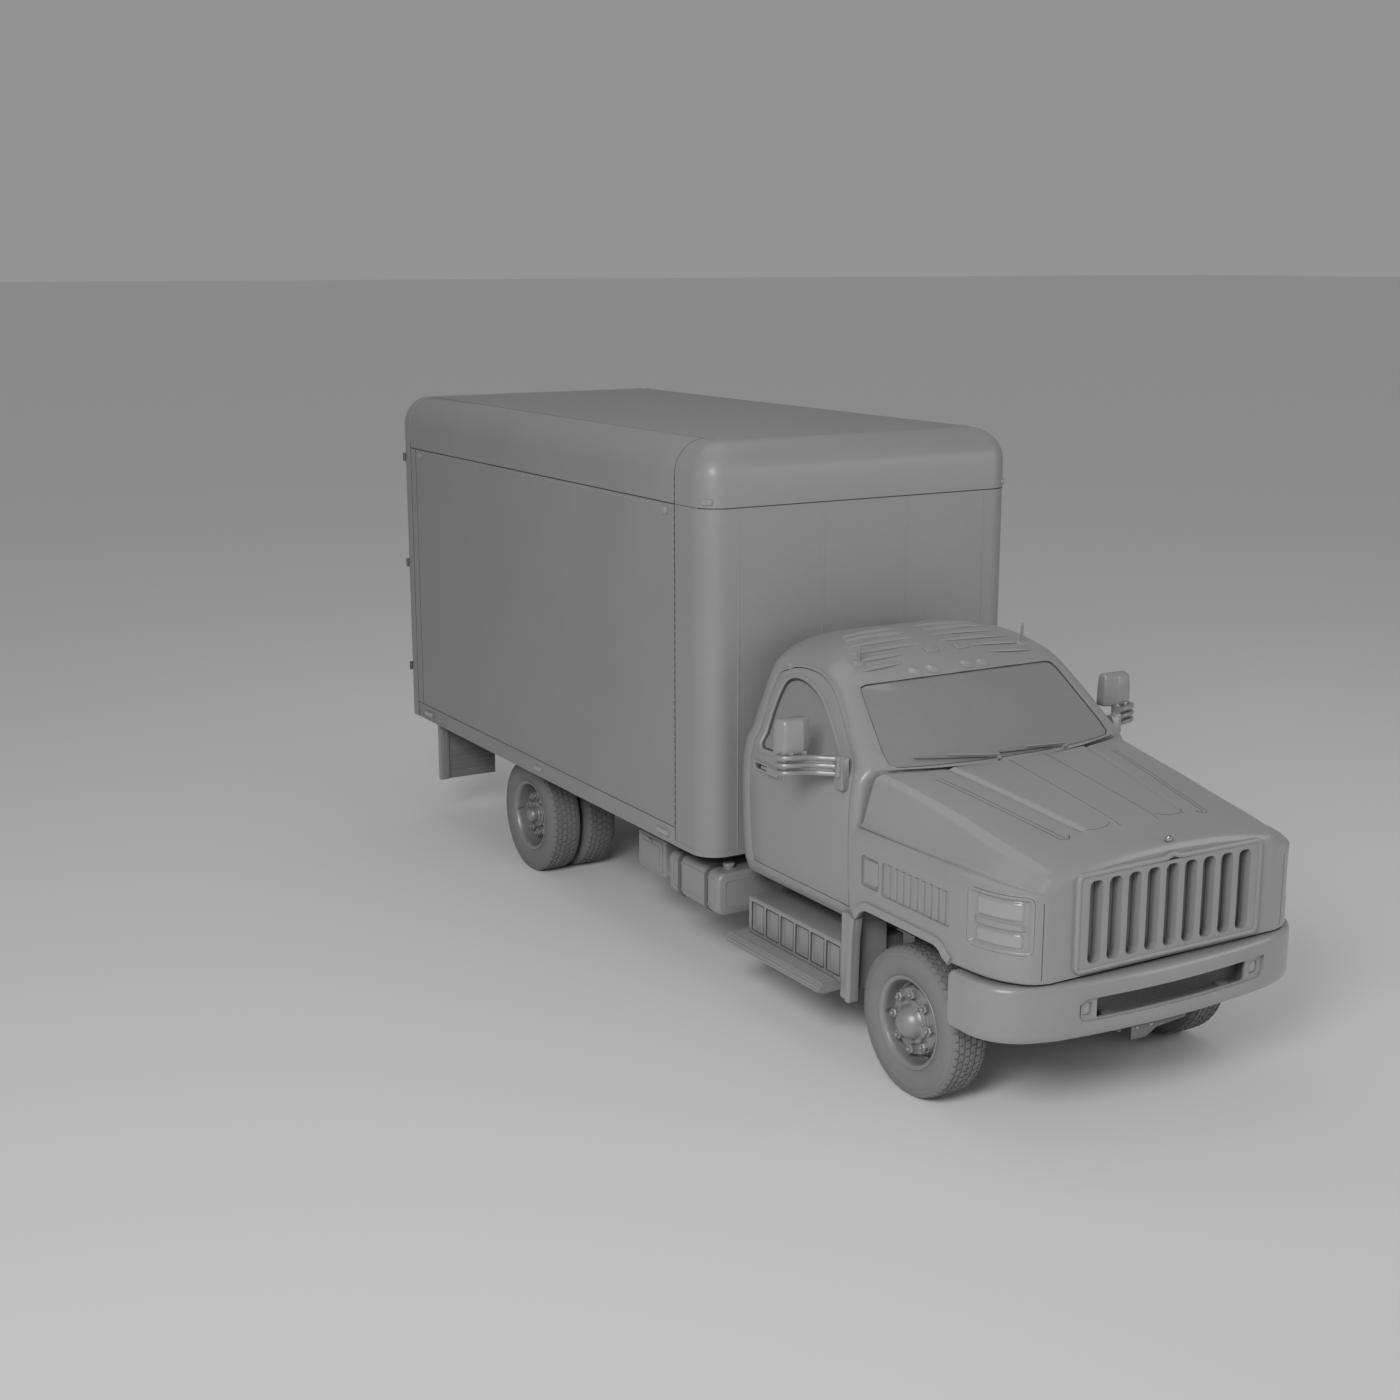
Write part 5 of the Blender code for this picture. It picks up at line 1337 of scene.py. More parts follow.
def makeWipers():
    pieces, blades = [], []
    for pivot, tip, start in (((-0.176, 1.806), (-0.68, 1.842), (-0.23, 1.822)),
                              ((0.345, 1.806), (-0.14, 1.834), (0.27, 1.822))):
        hub, normal = onScreen(pivot[0], pivot[1], 0.018)
        pieces.append(tube([hub - normal * 0.03, hub + normal * 0.006], 0.013, 14, up=(1, 0, 0)))
        arm = [onScreen(pivot[0] + (tip[0] - pivot[0]) * t, pivot[1] + (tip[1] - pivot[1]) * t + 0.006, 0.026)[0]
               for t in (0.0, 0.15, 0.35, 0.55, 0.62)]
        pieces.append(sweep(arm, rect(-0.004, -0.009, 0.004, 0.009), up=(0, -0.5, 0.85)))
        line = [onScreen(start[0] + (tip[0] - start[0]) * t, start[1] + (tip[1] - start[1]) * t, 0.01)[0]
                for t in np.linspace(0, 1, 9).tolist()]
        blades.append(sweep(line, [(-0.006, -0.006), (0.006, -0.006), (0.007, 0.002), (0.003, 0.006), (-0.003, 0.006),
                                   (-0.007, 0.002)], up=(0, -0.5, 0.85)))
    place("wiperArms", merged(*pieces), "cabPaint", sharp=40)
    place("wiperBlades", merged(*blades), "tyreRubber", sharp=40)


def cushion(name, low, high, crown, channels, tilt, pivot):
    # Crowned pad with its sewn channels running front to back (or up the back)
    low, high = Vector(low), Vector(high)
    bm = bmesh.new()
    bmesh.ops.create_cube(bm, size=1.0)
    bmesh.ops.subdivide_edges(bm, edges=bm.edges[:], cuts=35, use_grid_fill=True)
    span, middle = high - low, (low + high) / 2
    for vert in bm.verts:
        u = vert.co * 2                                     # -1 to 1 on each axis
        pull = 1 - 0.035 * (1 - abs(u.x) ** 2) * (abs(u.y) ** 6)
        u = u / max(sum(abs(part) ** 7 for part in u) ** (1 / 7), 0.001)
        bulge = (1 - u.x ** 4) * (1 - u.y ** 4)
        spot = Vector((u.x * span.x / 2, u.y * span.y / 2 * pull, u.z * span.z / 2))
        if u.z > 0:
            groove = sum(math.exp(-((spot.x - c) / 0.01) ** 2) for c in channels)
            seam = math.exp(-((abs(u.x) - 0.93) / 0.012) ** 2) + math.exp(-((abs(u.y) - 0.9) / 0.02) ** 2)
            spot.z += crown * bulge * u.z - 0.011 * groove * u.z * bulge - 0.004 * min(1, seam) * u.z
        vert.co = spot + middle
    shifted(shaped(shifted(bm, -Vector(pivot)), Matrix.Rotation(math.radians(tilt), 4, "X")), pivot)
    bmesh.ops.recalc_face_normals(bm, faces=bm.faces)
    place(name, bm, "seatVinyl", slot="cab_trim", sharp=180)


def makeInterior():
    base = panel([filleted([(1.08, 0.928, 0.01), (1.62, 0.928, 0.01), (1.66, 1.2, 0.03), (1.09, 1.19, 0.03)], 3,
                           True)],
                 "X", -0.8, 0.8, 0.008)
    place("seatBase", base, "cabTrim", stands=["seat_bench"])
    for name, side in sides:
        x0, x1 = sorted((side * 0.012, side * 0.8))
        channels = [side * x - (x0 + x1) / 2 for x in (0.22, 0.406, 0.59)]
        cushion("seatPad" + name, (x0, 1.035, 1.2), (x1, 1.52, 1.33), 0.016, channels, 2, (0, 1.5, 1.2))
        cushion("seatBack" + name, (x0, 1.55, 1.2), (x1, 2.15, 1.305), 0.014, channels, 80, (0, 1.56, 1.27))
    wheelRim = tube([(x, y, 0) for x, y in circle(0.215, 64)], 0.0155, 12, True)
    hub = upright(((0.052, -0.034), (0.06, -0.024), (0.062, -0.01), (0.054, 0.001), (0.03, 0.006)), 32)
    column = upright(((0.034, -0.104), (0.03, -0.08), (0.024, -0.034)), 20)
    spokes = []
    for turn in (90, 210, 330):
        ahead = Vector((math.cos(math.radians(turn)), math.sin(math.radians(turn)), 0))
        spokes.append(sweep([ahead * r + Vector((0, 0, z)) for r,
                             z in ((0.045, -0.014), (0.12, -0.012), (0.18, -0.006), (0.212, 0.0))],
                            filleted([(-0.014, -0.005, 0.004), (0.014, -0.005, 0.004), (0.012, 0.005, 0.004),
                                      (-0.012, 0.005, 0.004)], 2, True)))
    spot = Matrix.Translation((0.42, 1.02, 1.62)) @ Matrix.Rotation(math.radians(-55), 4, "X")
    wheelMesh = shaped(merged(wheelRim, hub, column, *spokes), spot)
    place("steeringWheelShaped", wheelMesh, "cabTrim", stands=["steering_wheel"], sharp=45)
    low = 0.5905                                            # just clear of the firewall
    dash = panel([filleted([(low, 1.42, 0.01), (0.79, 1.425, 0.03), (0.895, 1.55, 0.03), (0.895, 1.675, 0.03),
                            (0.84, 1.728, 0.03),
                            (low, 1.728, 0.01)], 4, True)], "X", -0.878, 0.878, 0.008)
    hood = panel([filleted([(0.8, 1.715, 0.0), (0.9, 1.69, 0.01), (0.905, 1.705, 0.008), (0.84, 1.752, 0.02),
                            (0.76, 1.745, 0.01)], 3, True)],
                 "X", 0.24, 0.62, 0.005)
    vents = []
    for x in (-0.75, -0.4, 0.12, 0.74):
        vents.append(panel([roundRect((x - 0.05, 1.61), (x + 0.05, 1.66), 0.012),
                            roundRect((x - 0.043, 1.617), (x + 0.043, 1.653), 0.008)[::-1]],
                           "Y", 0.889, 0.899, 0.001))
        slat = box((x - 0.043, 0.89, -0.0015), (x + 0.043, 0.898, 0.0015))
        vents.append(row(slat, "cabTrim", (0, 0, 1.623), (0, 0, 1.647), 4))
    place("dashShaped", merged(dash, hood, *vents), "cabTrim", stands=["dashboard"], sharp=40)
    print("seats, dash and steering wheel made")


def makeCowl():
    # Filler strip between the screen and the back edge of the hood
    path = [onScreen(0.075 * i - 0.9, 1.775)[0] for i in range(25)]
    cowl = sweep([(spot.x, spot.y + 0.012, 0.0) for spot in path],
                 [(-0.06, 1.752), (0.022, 1.752), (0.022, 1.786), (0.004, 1.79), (-0.045, 1.764)])
    place("cowlStrip", cowl, "cabPaint")


makeCab()
makeDoorTrim()
makeMirrors()
makeRoof()
makeWipers()
makeInterior()
makeCowl()


# Van body

van = {"half": bodyHalf, "wall": 0.04, "corner": 0.178, "crown": 0.222, "deck": 1.06, "rail": 1.027,
       "frameDepth": 0.113, "opening": 1.12, "openingTop": 3.34, "seam": 0.0035, "postPitch": 0.41}
van["rear"] = bodyRear - van["frameDepth"] - 0.0003
van["top"] = crownBottom


def crownRing(inset, height, wall, front, rear):
    half, near = van["half"] - wall - inset, front + wall + inset
    corner = max(van["corner"] - wall, 0.05) * (1 - 0.9 * inset / van["crown"])
    right = [(half - corner) * i / 6 for i in range(6)]
    right = [(x, near) for x in right] + arc((half - corner, near + corner), corner, -90, 0, 12)
    right += [(half, near + corner + (rear - near - corner) * i / 4) for i in range(1, 5)] + [(0.0, rear)]
    ring = right + [(-x, y) for x, y in reversed(right[1:-1])]
    return [(x, y, height) for x, y in ring]


def crownSolid(wall, low):
    rear = van["rear"] + (0.1 if wall else 0.0)
    rings = [crownRing(0.0, low, wall, bodyFront, rear)]
    for i in range(17):
        turn = math.radians(90 * i / 16)
        rings.append(crownRing(van["crown"] * (1 - math.cos(turn)) * 0.999,
                               bodyTop - wall - van["crown"] * (1 - math.sin(turn)), wall, bodyFront, rear))
    return loft(rings)


def crownArc(y, lift):
    # Points over the crown's curve, from its side to its top
    middle = (van["half"] - van["crown"], bodyTop - van["crown"])
    return [(x, y, z) for x, z in arc(middle, van["crown"] + lift, 0, 90, 16)]


def makeVan():
    half, wall, corner, rear, top = van["half"], van["wall"], van["corner"], van["rear"], van["top"]
    crown = boolean(crownSolid(0.0, top + 0.003), crownSolid(wall, top - 0.1))
    place("crownShell", rounded(crown, 0.0025, 1, 60), "panelPaint", stands=["cargo_roof"], sharp=30)
    inset = van["crown"] * 0.94
    sheet = roundRect((-half + inset, bodyFront + inset), (half - inset, rear - 0.004), 0.03, 4)
    roofSheet = panel([sheet], "Z", bodyTop - 0.004, bodyTop + 0.003, 0.0012)
    # The roof sheet in the darker roof finish, painted shade
    place("roofSheet", roofSheet, "roofSkin")
    inner = corner - wall
    cap = capRear - 0.003
    outer = [(half, cap)] + arc((half - corner, bodyFront + corner), corner, 0, -90, 14)
    inside = [(half - wall, cap)] + arc((half - corner, bodyFront + corner), inner, 0, -90, 10)
    ring = outer + [(-x, y) for x, y in reversed(outer)] + [(-x, y) for x, y in inside] + list(reversed(inside))
    front = loft([[(x, y, z) for x, y in ring] for z in (bodyBottom, bodyBottom + 0.5, top - 0.5, top)])
    place("frontWall", rounded(front, 0.002, 1, 60), "panelPaint", stands=["cargo_front"], sharp=30)
    path = [(half + 0.001, cap)] + arc((half - corner, bodyFront + corner), corner + 0.001, 0, -90, 12)
    path = [(x, y, 0) for x, y in path + [(-x, y) for x, y in reversed(path)]]
    place("frontWallLip", sweep(path, rect(-0.002, bodyBottom + 0.004, 0.003, bodyBottom + 0.04)), "panelPaint")
    ribs = [box((side * x - 0.006, bodyFront - 0.0035, bodyBottom + 0.05),
                (side * x + 0.006, bodyFront + 0.002, top - 0.012), 0.002, 1)
            for side in (-1, 1) for x in (half - 0.245, 0.33)]
    place("frontWallRibs", merged(*ribs), "panelPaint")
    for name, side in sides:
        sheetSide = onSide(box((half - wall, capRear, van["rail"] + 0.0003), (half, rear, top)), side)
        place("sideSheet" + name, rounded(sheetSide, 0.002, 1), "panelPaint", stands=["cargo_side_" + name.lower()])
        seam = van["seam"]
        x0, x1 = half - 0.002, half + 0.0008
        lines = [box((x0, capRear - 0.004, bodyBottom + 0.01), (x1, capRear + 0.001, bodyTop - van["crown"])),
                 box((x0, capRear - 0.004, top - seam), (x1, rear, top + seam + 0.001)),
                 box((x0, capRear, van["rail"] - seam * 0.8), (x1, rear, van["rail"] + seam * 0.8)),
                 box((x0, rear - 0.002, bodyBottom + 0.005), (x1, rear + 0.003, top + 0.05)),
                 box((x0, rear - 0.105, van["rail"]), (x1, rear - 0.101, top))]
        lines.append(sweep(crownArc(capRear - 0.0015, 0.0002), rect(-0.0022, -0.002, 0.0022, 0.0008), up=(0.7, 0, 0.7)))
        place("bodySeams" + name, onSide(merged(*lines), side), "darkSeam")
        dash = onSide(box((half - 0.001, -0.0055, -0.014), (half + 0.0009, 0.0055, 0.014)), side)
        dashes = row(dash, "darkSeam", (0, capRear, bodyBottom + 0.16), (0, capRear, bodyTop - van["crown"] - 0.02), 46)
        place("seamDashes" + name, dashes, "darkSeam")
        rivet = facing(dome(0.0095, 0.006, 8), (side, 0, 0))
        rows = []
        for y0, z0, y1, z1, count in ((capRear + 0.026, bodyBottom + 0.16, capRear + 0.026, top - 0.03, 44),
                                      (capRear + 0.06, top - 0.022, rear - 0.05, top - 0.022, 58),
                                      (capRear + 0.06, van["rail"] + 0.024, rear - 0.05, van["rail"] + 0.024, 58),
                                      (capRear + 0.1, bodyBottom + 0.022, rear - 0.08, bodyBottom + 0.022, 20)):
            rows.append(row(rivet.copy(), "panelPaint", (side * half, y0, z0), (side * half, y1, z1), count))
        rivet.free()
        place("bodyRivets" + name, merged(*rows), "panelPaint", sharp=50)
        lamps, lenses = [], []
        for y, z, wide, tall in ((capRear + 0.13, top - 0.05, 0.038, 0.028), (rear - 0.2, top - 0.05, 0.038, 0.028),
                                 (capRear + 0.16, bodyBottom + 0.062, 0.085, 0.022),
                                 (rear - 0.22, bodyBottom + 0.062, 0.085, 0.022),
                                 (capRear + 2.05, bodyBottom + 0.062, 0.06, 0.022)):
            base = panel([roundRect((y - wide, z - tall), (y + wide, z + tall), tall * 0.7, 4)], "X", half - 0.001,
                         half + 0.006, 0.002)
            lens = panel([roundRect((y - wide * 0.86, z - tall * 0.76), (y + wide * 0.86, z + tall * 0.76), tall * 0.6,
                                    4)],
                         "X", half + 0.001, half + 0.013, 0.005, 3)
            lamps.append(onSide(base, side))
            lenses.append(onSide(lens, side))
        turn = math.radians(-42)
        spot = Vector((side * (half - corner + corner * math.cos(turn)), bodyFront + corner + corner * math.sin(turn),
                       top + 0.042))
        outward = Vector((side * math.cos(turn), math.sin(turn), 0))
        for size, deep, group in (((0.04, 0.02), 0.01, lamps), ((0.033, 0.014), 0.019, lenses)):
            lens = panel([roundRect((-size[0], -size[1]), (size[0], size[1]), size[1] * 0.8, 4)], "Z", -0.012, deep,
                         0.004, 3)
            group.append(shifted(facing(lens, outward), spot))
        place("markerBases" + name, merged(*lamps), "panelPaint", sharp=40)
        place("markerLenses" + name, merged(*lenses), "lampLens", sharp=40)
        # Posts and kick strip inside
        post = box((0, -0.022, van["deck"] + 0.15), (0.028, 0.022, top - 0.02), 0.004, 1)
        count = int((rear - capRear - 0.3) / van["postPitch"]) + 1
        x = side * (half - wall - 0.0004)
        posts = row(onSide(post, -side), "panelPaint", (x, capRear + 0.15, 0), (x, rear - 0.15, 0), count)
        kick = box((half - wall - 0.018, capRear + 0.02, van["deck"] + 0.004),
                   (half - wall - 0.0004, rear - 0.02, van["deck"] + 0.14), 0.003, 1)
        place("wallPosts" + name, merged(posts, onSide(kick, side)), "panelPaint")
    corners = [tube([(side * x, y, z) for x, y, z in crownArc(rear - 0.006, 0.002)], 0.004, 6,
                    up=(0, 1, 0)) for side in (1, -1)]
    place("crownEndBeads", merged(*corners), "panelPaint")
    seamFront = arc((half - corner, bodyFront + corner), corner + 0.0002, -20, -90, 10)
    seamFront = [(x, y, top + 0.0015) for x, y in seamFront + [(-x, y) for x, y in reversed(seamFront)]]
    place("frontCrownSeam", sweep(seamFront, rect(-0.0012, -0.0035, 0.0015, 0.0035)), "darkSeam")
    joint = box((-0.0025, bodyFront + 0.1, van["deck"] + 0.0002), (0.0025, rear - 0.01, van["deck"] + 0.0014))
    place("deckJoints", row(joint, "darkSeam", (-half + 0.18, 0, 0), (half - 0.18, 0, 0), 14), "darkSeam")
    bow = box((-half + 0.27, -0.02, bodyTop - wall - 0.03), (half - 0.27, 0.02, bodyTop - wall - 0.0006), 0.003, 1)
    place("roofBows", row(bow, "panelPaint", (0, capRear + 0.2, 0), (0, rear - 0.25, 0), 10), "panelPaint")
    print("van body made")


def makeRear():
    half, crown = van["half"], van["crown"]
    y0, y1 = bodyRear - van["frameDepth"], bodyRear
    top = arc((half - crown, bodyTop - crown), crown, 0, 90, 14)
    outline = [(half, bodyBottom)] + top + [(-x, z) for x, z in reversed(top)] + [(-half, bodyBottom)]
    opening = roundRect((-van["opening"], van["deck"]), (van["opening"], van["openingTop"]), 0.004, 1)
    portal = panel([outline, opening[::-1]], "Y", y0, y1, 0.003, 2)
    place("rearPortal", portal, "panelPaint", stands=["rear_frame"])
    pads, lenses = [], []
    spots = [(-0.16, 3.455, 0.045, 0.02), (0.0, 3.455, 0.045, 0.02), (0.16, 3.455, 0.045, 0.02),
             (1.02, 3.44, 0.045, 0.02),
             (-1.02, 3.44, 0.045, 0.02)]
    spots += [(side * x, 0.978, 0.052, 0.04) for side in (-1, 1) for x in (1.1, 0.97, 0.84)]
    for x, z, wide, tall in spots:
        pads.append(panel([roundRect((x - wide, z - tall), (x + wide, z + tall), tall * 0.7, 4)], "Y", bodyRear - 0.001,
                          bodyRear + 0.006, 0.002))
        lenses.append(panel([roundRect((x - wide * 0.86, z - tall * 0.84), (x + wide * 0.86, z + tall * 0.84),
                                       tall * 0.62, 4)],
                            "Y", bodyRear, bodyRear + 0.014, 0.005, 3))
    place("rearLampBases", merged(*pads), "panelPaint", sharp=40)
    place("rearLampLenses", merged(*lenses), "lampLens", sharp=40)
    stops = [box((side * 0.42 - 0.05, bodyRear - 0.001, 0.925), (side * 0.42 + 0.05, bodyRear + 0.03, 1.02), 0.01,
                 3) for side in (-1, 1)]
    place("dockBumpers", merged(*stops), "tyreRubber", sharp=40)
    gap, bottom, leafTop = 0.006, van["deck"] + 0.006, van["openingTop"] - 0.006
    rear = bodyRear - 0.003
    for name, side in sides:
        body = "rear_leaf_" + name.lower()
        leaf = box((gap, rear - 0.04, bottom), (van["opening"] - gap, rear, leafTop), 0.004, 2)
        frameBead = panel([roundRect((gap + 0.045, bottom + 0.045), (van["opening"] - gap - 0.045, leafTop - 0.045),
                                     0.03, 4),
                           roundRect((gap + 0.06, bottom + 0.06), (van["opening"] - gap - 0.06, leafTop - 0.06),
                                     0.02, 4)[::-1]],
                          "Y", rear - 0.001, rear + 0.005, 0.002)
        straps, pins, bolts = [], [], []
        for z in (bottom + 0.25, (bottom + leafTop) / 2, leafTop - 0.25):
            strapShape = filleted([(0.952, z - 0.014, 0.01), (1.05, z - 0.03, 0.02), (1.108, z - 0.03, 0.0),
                                   (1.108, z + 0.03, 0.0),
                                   (1.05, z + 0.03, 0.02), (0.952, z + 0.014, 0.01)], 3, True)
            straps.append(panel([strapShape], "Y", rear - 0.002, bodyRear + 0.0125, 0.0015))
            straps.append(box((1.1, bodyRear + 0.0065, z - 0.03), (half + 0.004, bodyRear + 0.0128, z + 0.03),
                              0.001, 1))
            pins.append(tube([(half + 0.004, bodyRear + 0.021, z - 0.034), (half + 0.004, bodyRear + 0.021, z + 0.034)],
                             0.0128, 20, up=(0, 1, 0)))
            bolts += [stud(0.009, 0.005, 10, (x, bodyRear + 0.0125, z), (0, 1, 0)) for x in (0.985, 1.035, 1.085)]
        place("cargoLeaf" + name, onSide(merged(leaf, frameBead), side), "panelPaint", body,
              ["cargo_door_" + name.lower()])
        place("leafHinges" + name, onSide(merged(*straps, *pins, *bolts), side), "chassisPaint", body, sharp=40)
        x = 0.16
        rodY = bodyRear + 0.0135
        lock = [tube([(x, rodY, bottom + 0.015), (x, rodY, leafTop - 0.015)], 0.0135, 16, up=(0, 1, 0))]
        lock += [box((x - 0.032, rear - 0.001, z - 0.022), (x + 0.032, bodyRear + 0.029, z + 0.022), 0.007, 2)
                 for z in (bottom + 0.1, bottom + 0.62, (bottom + leafTop) / 2 + 0.2, leafTop - 0.1)]
        for z in (bottom + 0.004, leafTop - 0.034):
            lock.append(box((x - 0.02, rear, z), (x + 0.036, bodyRear + 0.024, z + 0.03), 0.005, 2))
        lock.append(sweep([(x, bodyRear + 0.026, bottom + 0.4), (x + 0.05, bodyRear + 0.027, bottom + 0.385),
                           (x + 0.3, bodyRear + 0.027, bottom + 0.385),
                           (x + 0.4, bodyRear + 0.026, bottom + 0.4)], rect(-0.004, -0.013, 0.004, 0.013)))
        lock.append(box((x + 0.26, rear, bottom + 0.35), (x + 0.31, bodyRear + 0.022, bottom + 0.372), 0.004, 2))
        place("leafLock" + name, onSide(merged(*lock), side), "wheelEnamel", body, sharp=40)
        seal = panel([roundRect((gap - 0.0035, bottom - 0.0035), (van["opening"] - gap + 0.0035, leafTop + 0.0035),
                                0.004, 1),
                      roundRect((gap + 0.01, bottom + 0.01), (van["opening"] - gap - 0.01, leafTop - 0.01), 0.004,
                                1)[::-1]],
                     "Y", rear - 0.034, rear - 0.016, 0.001)
        place("leafSeal" + name, onSide(seal, side), "darkSeam", body)
    print("rear frame and doors made")


makeVan()
makeRear()


# Steps, tanks, flaps and what hangs below

step = {"front": 0.61, "rear": 1.68, "panels": 6}


def makeSteps():
    y0, y1 = step["front"], step["rear"]
    for name, side in sides:
        body = box((0.62, y0, 0.47), (1.06, y1, 0.72), 0.012, 3)
        pitch = (y1 - y0 - 0.06) / step["panels"]
        line = (0, y0 + 0.03, 0), (0, y0 + 0.03 + pitch * (step["panels"] - 1), 0), step["panels"]
        unit = panel([roundRect((0.012, 0.505), (pitch - 0.012, 0.694), 0.008, 2)], "X", 1.044, 1.08)
        body = boolean(body, row(unit, "cabPaint", *line))
        hanger = box((0.4655, y0 + 0.25, 0.64), (0.64, y1 - 0.25, 0.7), 0.004, 1)
        place("stepBox" + name, onSide(merged(rounded(body, 0.002, 1, 60), hanger), side), "cabPaint",
              stands=["step_" + name.lower()], sharp=35)
        outline = panel([roundRect((0.01, 0.503), (pitch - 0.01, 0.696), 0.009, 2),
                         roundRect((0.016, 0.509), (pitch - 0.016, 0.69), 0.007, 2)[::-1]],
                        "X", side * 1.059 - 0.0015, side * 1.059 + 0.0021)
        place("stepLines" + name, row(outline, "darkSeam", *line), "darkSeam")
        a, b = y0 + 0.06, y1 + 0.08
        section = filleted([(0.955, 0.418, 0.01), (1.165, 0.412, 0.02), (1.198, 0.425, 0.012), (1.198, 0.45, 0.014),
                            (1.17, 0.474, 0.012),
                            (0.955, 0.474, 0.006)], 3, True)
        tread = loft([[(x, y, z) for x, z in section] for y in (a, a + 0.004, b - 0.03, b)])
        for vert in tread.verts:
            vert.co.x -= 0.012 * (vert.co.y > b - 0.001)
        ribs = [box((x - 0.006, a + 0.012, 0.47), (x + 0.006, b - 0.04, 0.4815), 0.0025, 1)
                for x in (0.978, 1.002, 1.026, 1.05, 1.074, 1.098, 1.122, 1.146)]
        ribs += [tube([(x, a + 0.012, z), (x, b - 0.04, z)], 0.0075, 8) for x,
                 z in ((1.196, 0.429), (1.197, 0.447), (1.187, 0.464), (1.166, 0.474))]
        tooth = box((0.985, -0.004, 0.472), (1.145, 0.004, 0.4762), 0.001, 1)
        teeth = row(tooth, "wheelEnamel", (0, a + 0.03, 0), (0, b - 0.06, 0), 48)
        place("stepTread" + name, onSide(merged(tread, teeth, *ribs), side), "cabPaint", sharp=35)


def shellBox(low, high, radius):
    # Box with large round edges along the truck and softer ends
    section = roundRect((low[0], low[2]), (high[0], high[2]), radius, 6)
    rings = []
    middle = ((low[0] + high[0]) / 2, (low[2] + high[2]) / 2)
    for share, y in ((0.86, low[1]), (0.94, low[1] + 0.006), (0.985, low[1] + 0.016), (1.0, low[1] + 0.032),
                     (1.0, high[1] - 0.032), (0.985, high[1] - 0.016), (0.94, high[1] - 0.006), (0.86, high[1])):
        rings.append([(middle[0] + (x - middle[0]) * (1 - (1 - share) * 0.45), y,
                       middle[1] + (z - middle[1]) * (1 - (1 - share) * 0.7))
                      for x, z in section])
    return loft(rings)


def makeTanks():
    y0, y1 = bodyFront, bodyFront + 0.65
    tank = shellBox((-1.12, y0, 0.5), (-0.56, y1, 0.79), 0.055)
    frames = [panel([roundRect((y0 + 0.045, 0.548), (y1 - 0.045, 0.748), 0.035, 5),
                     roundRect((y0 + 0.062, 0.565), (y1 - 0.062, 0.731), 0.024, 5)[::-1]],
                    "X", -1.1235, -1.117, 0.002)]
    frames.append(panel([roundRect((-1.075, 0.545), (-0.62, 0.745), 0.03, 5),
                         roundRect((-1.06, 0.56), (-0.635, 0.73), 0.02, 5)[::-1]],
                        "Y", y0 - 0.0025, y0 + 0.004, 0.002))
    straps = []
    for y in (y0 + 0.15, y1 - 0.15):
        section = roundRect((-1.1245, 0.4955), (-0.5555, 0.7945), 0.058, 6)
        straps.append(sweep([(x, y, z) for x, z in section], rect(-0.002, -0.018, 0.003, 0.018), True, (0, 1, 0)))
    hanger = box((-0.58, y0 + 0.15, 0.66), (-0.4655, y1 - 0.15, 0.74), 0.004, 1)
    filler = upright(((0.034, 0.0), (0.034, 0.018), (0.04, 0.02), (0.042, 0.034), (0.034, 0.042)), 28,
                     (-0.98, y0 + 0.1, 0.786))
    line = tube(smoothLine([(-0.7, y0 + 0.2, 0.785), (-0.7, y0 + 0.2, 0.835), (-0.62, y0 + 0.2, 0.852),
                            (-0.52, y0 + 0.16, 0.845)], 5), 0.008)
    place("fuelTankShaped", merged(tank, *frames, filler), "cabPaint", stands=["fuel_tank"], sharp=35)
    place("fuelTankStraps", merged(*straps, hanger, line), "chassisPaint", sharp=40)
    y0, y1 = bodyFront + 0.92, bodyFront + 1.3
    chest = shellBox((-1.0, y0, 0.48), (-0.56, y1, 0.76), 0.022)
    lid = panel([roundRect((y0 + 0.025, 0.515), (y1 - 0.025, 0.735), 0.018, 4)], "X", -1.006, -0.995, 0.003)
    raised = panel([roundRect((y0 + 0.06, 0.55), (y1 - 0.06, 0.7), 0.015, 4)], "X", -1.01, -1.0, 0.002)
    hanger = box((-0.58, y0 + 0.08, 0.66), (-0.4655, y1 - 0.08, 0.74), 0.004, 1)
    latch = box((-1.016, (y0 + y1) / 2 - 0.03, 0.708), (-1.0, (y0 + y1) / 2 + 0.03, 0.73), 0.004, 2)
    place("equipmentBoxShaped", merged(chest, lid, raised, hanger, latch), "cabPaint", stands=["equipment_box"],
          sharp=35)
    # Spring hanger brackets that show below the deck
    gussets = []
    for sign in (-1, 1):
        for y, lean in ((rearAxle - 1.22, 1), (rearAxle + 1.0, -1)):
            outline = [(y - 0.16 * lean, 0.898), (y + 0.12 * lean, 0.898), (y + 0.05 * lean, 0.7), (y, 0.665),
                       (y - 0.06 * lean, 0.69)]
            gussets.append(onSide(panel([filleted([(a, b, 0.012) for a, b in outline], 3, True)], "X", 0.4655, 0.485,
                                        0.002), sign))
    for y in (rearAxle - 1.3, rearAxle - 0.98):
        gussets += [onSide(panel([filleted([(0.5, 0.898, 0.0), (1.17, 0.898, 0.0), (1.17, 0.86, 0.01),
                                            (0.86, 0.7, 0.03), (0.5, 0.7, 0.01)], 3, True)],
                                 "Y", y - 0.004, y + 0.004, 0.001), sign) for sign in (-1, 1)]
    place("deckBrackets", merged(*gussets), "chassisPaint")


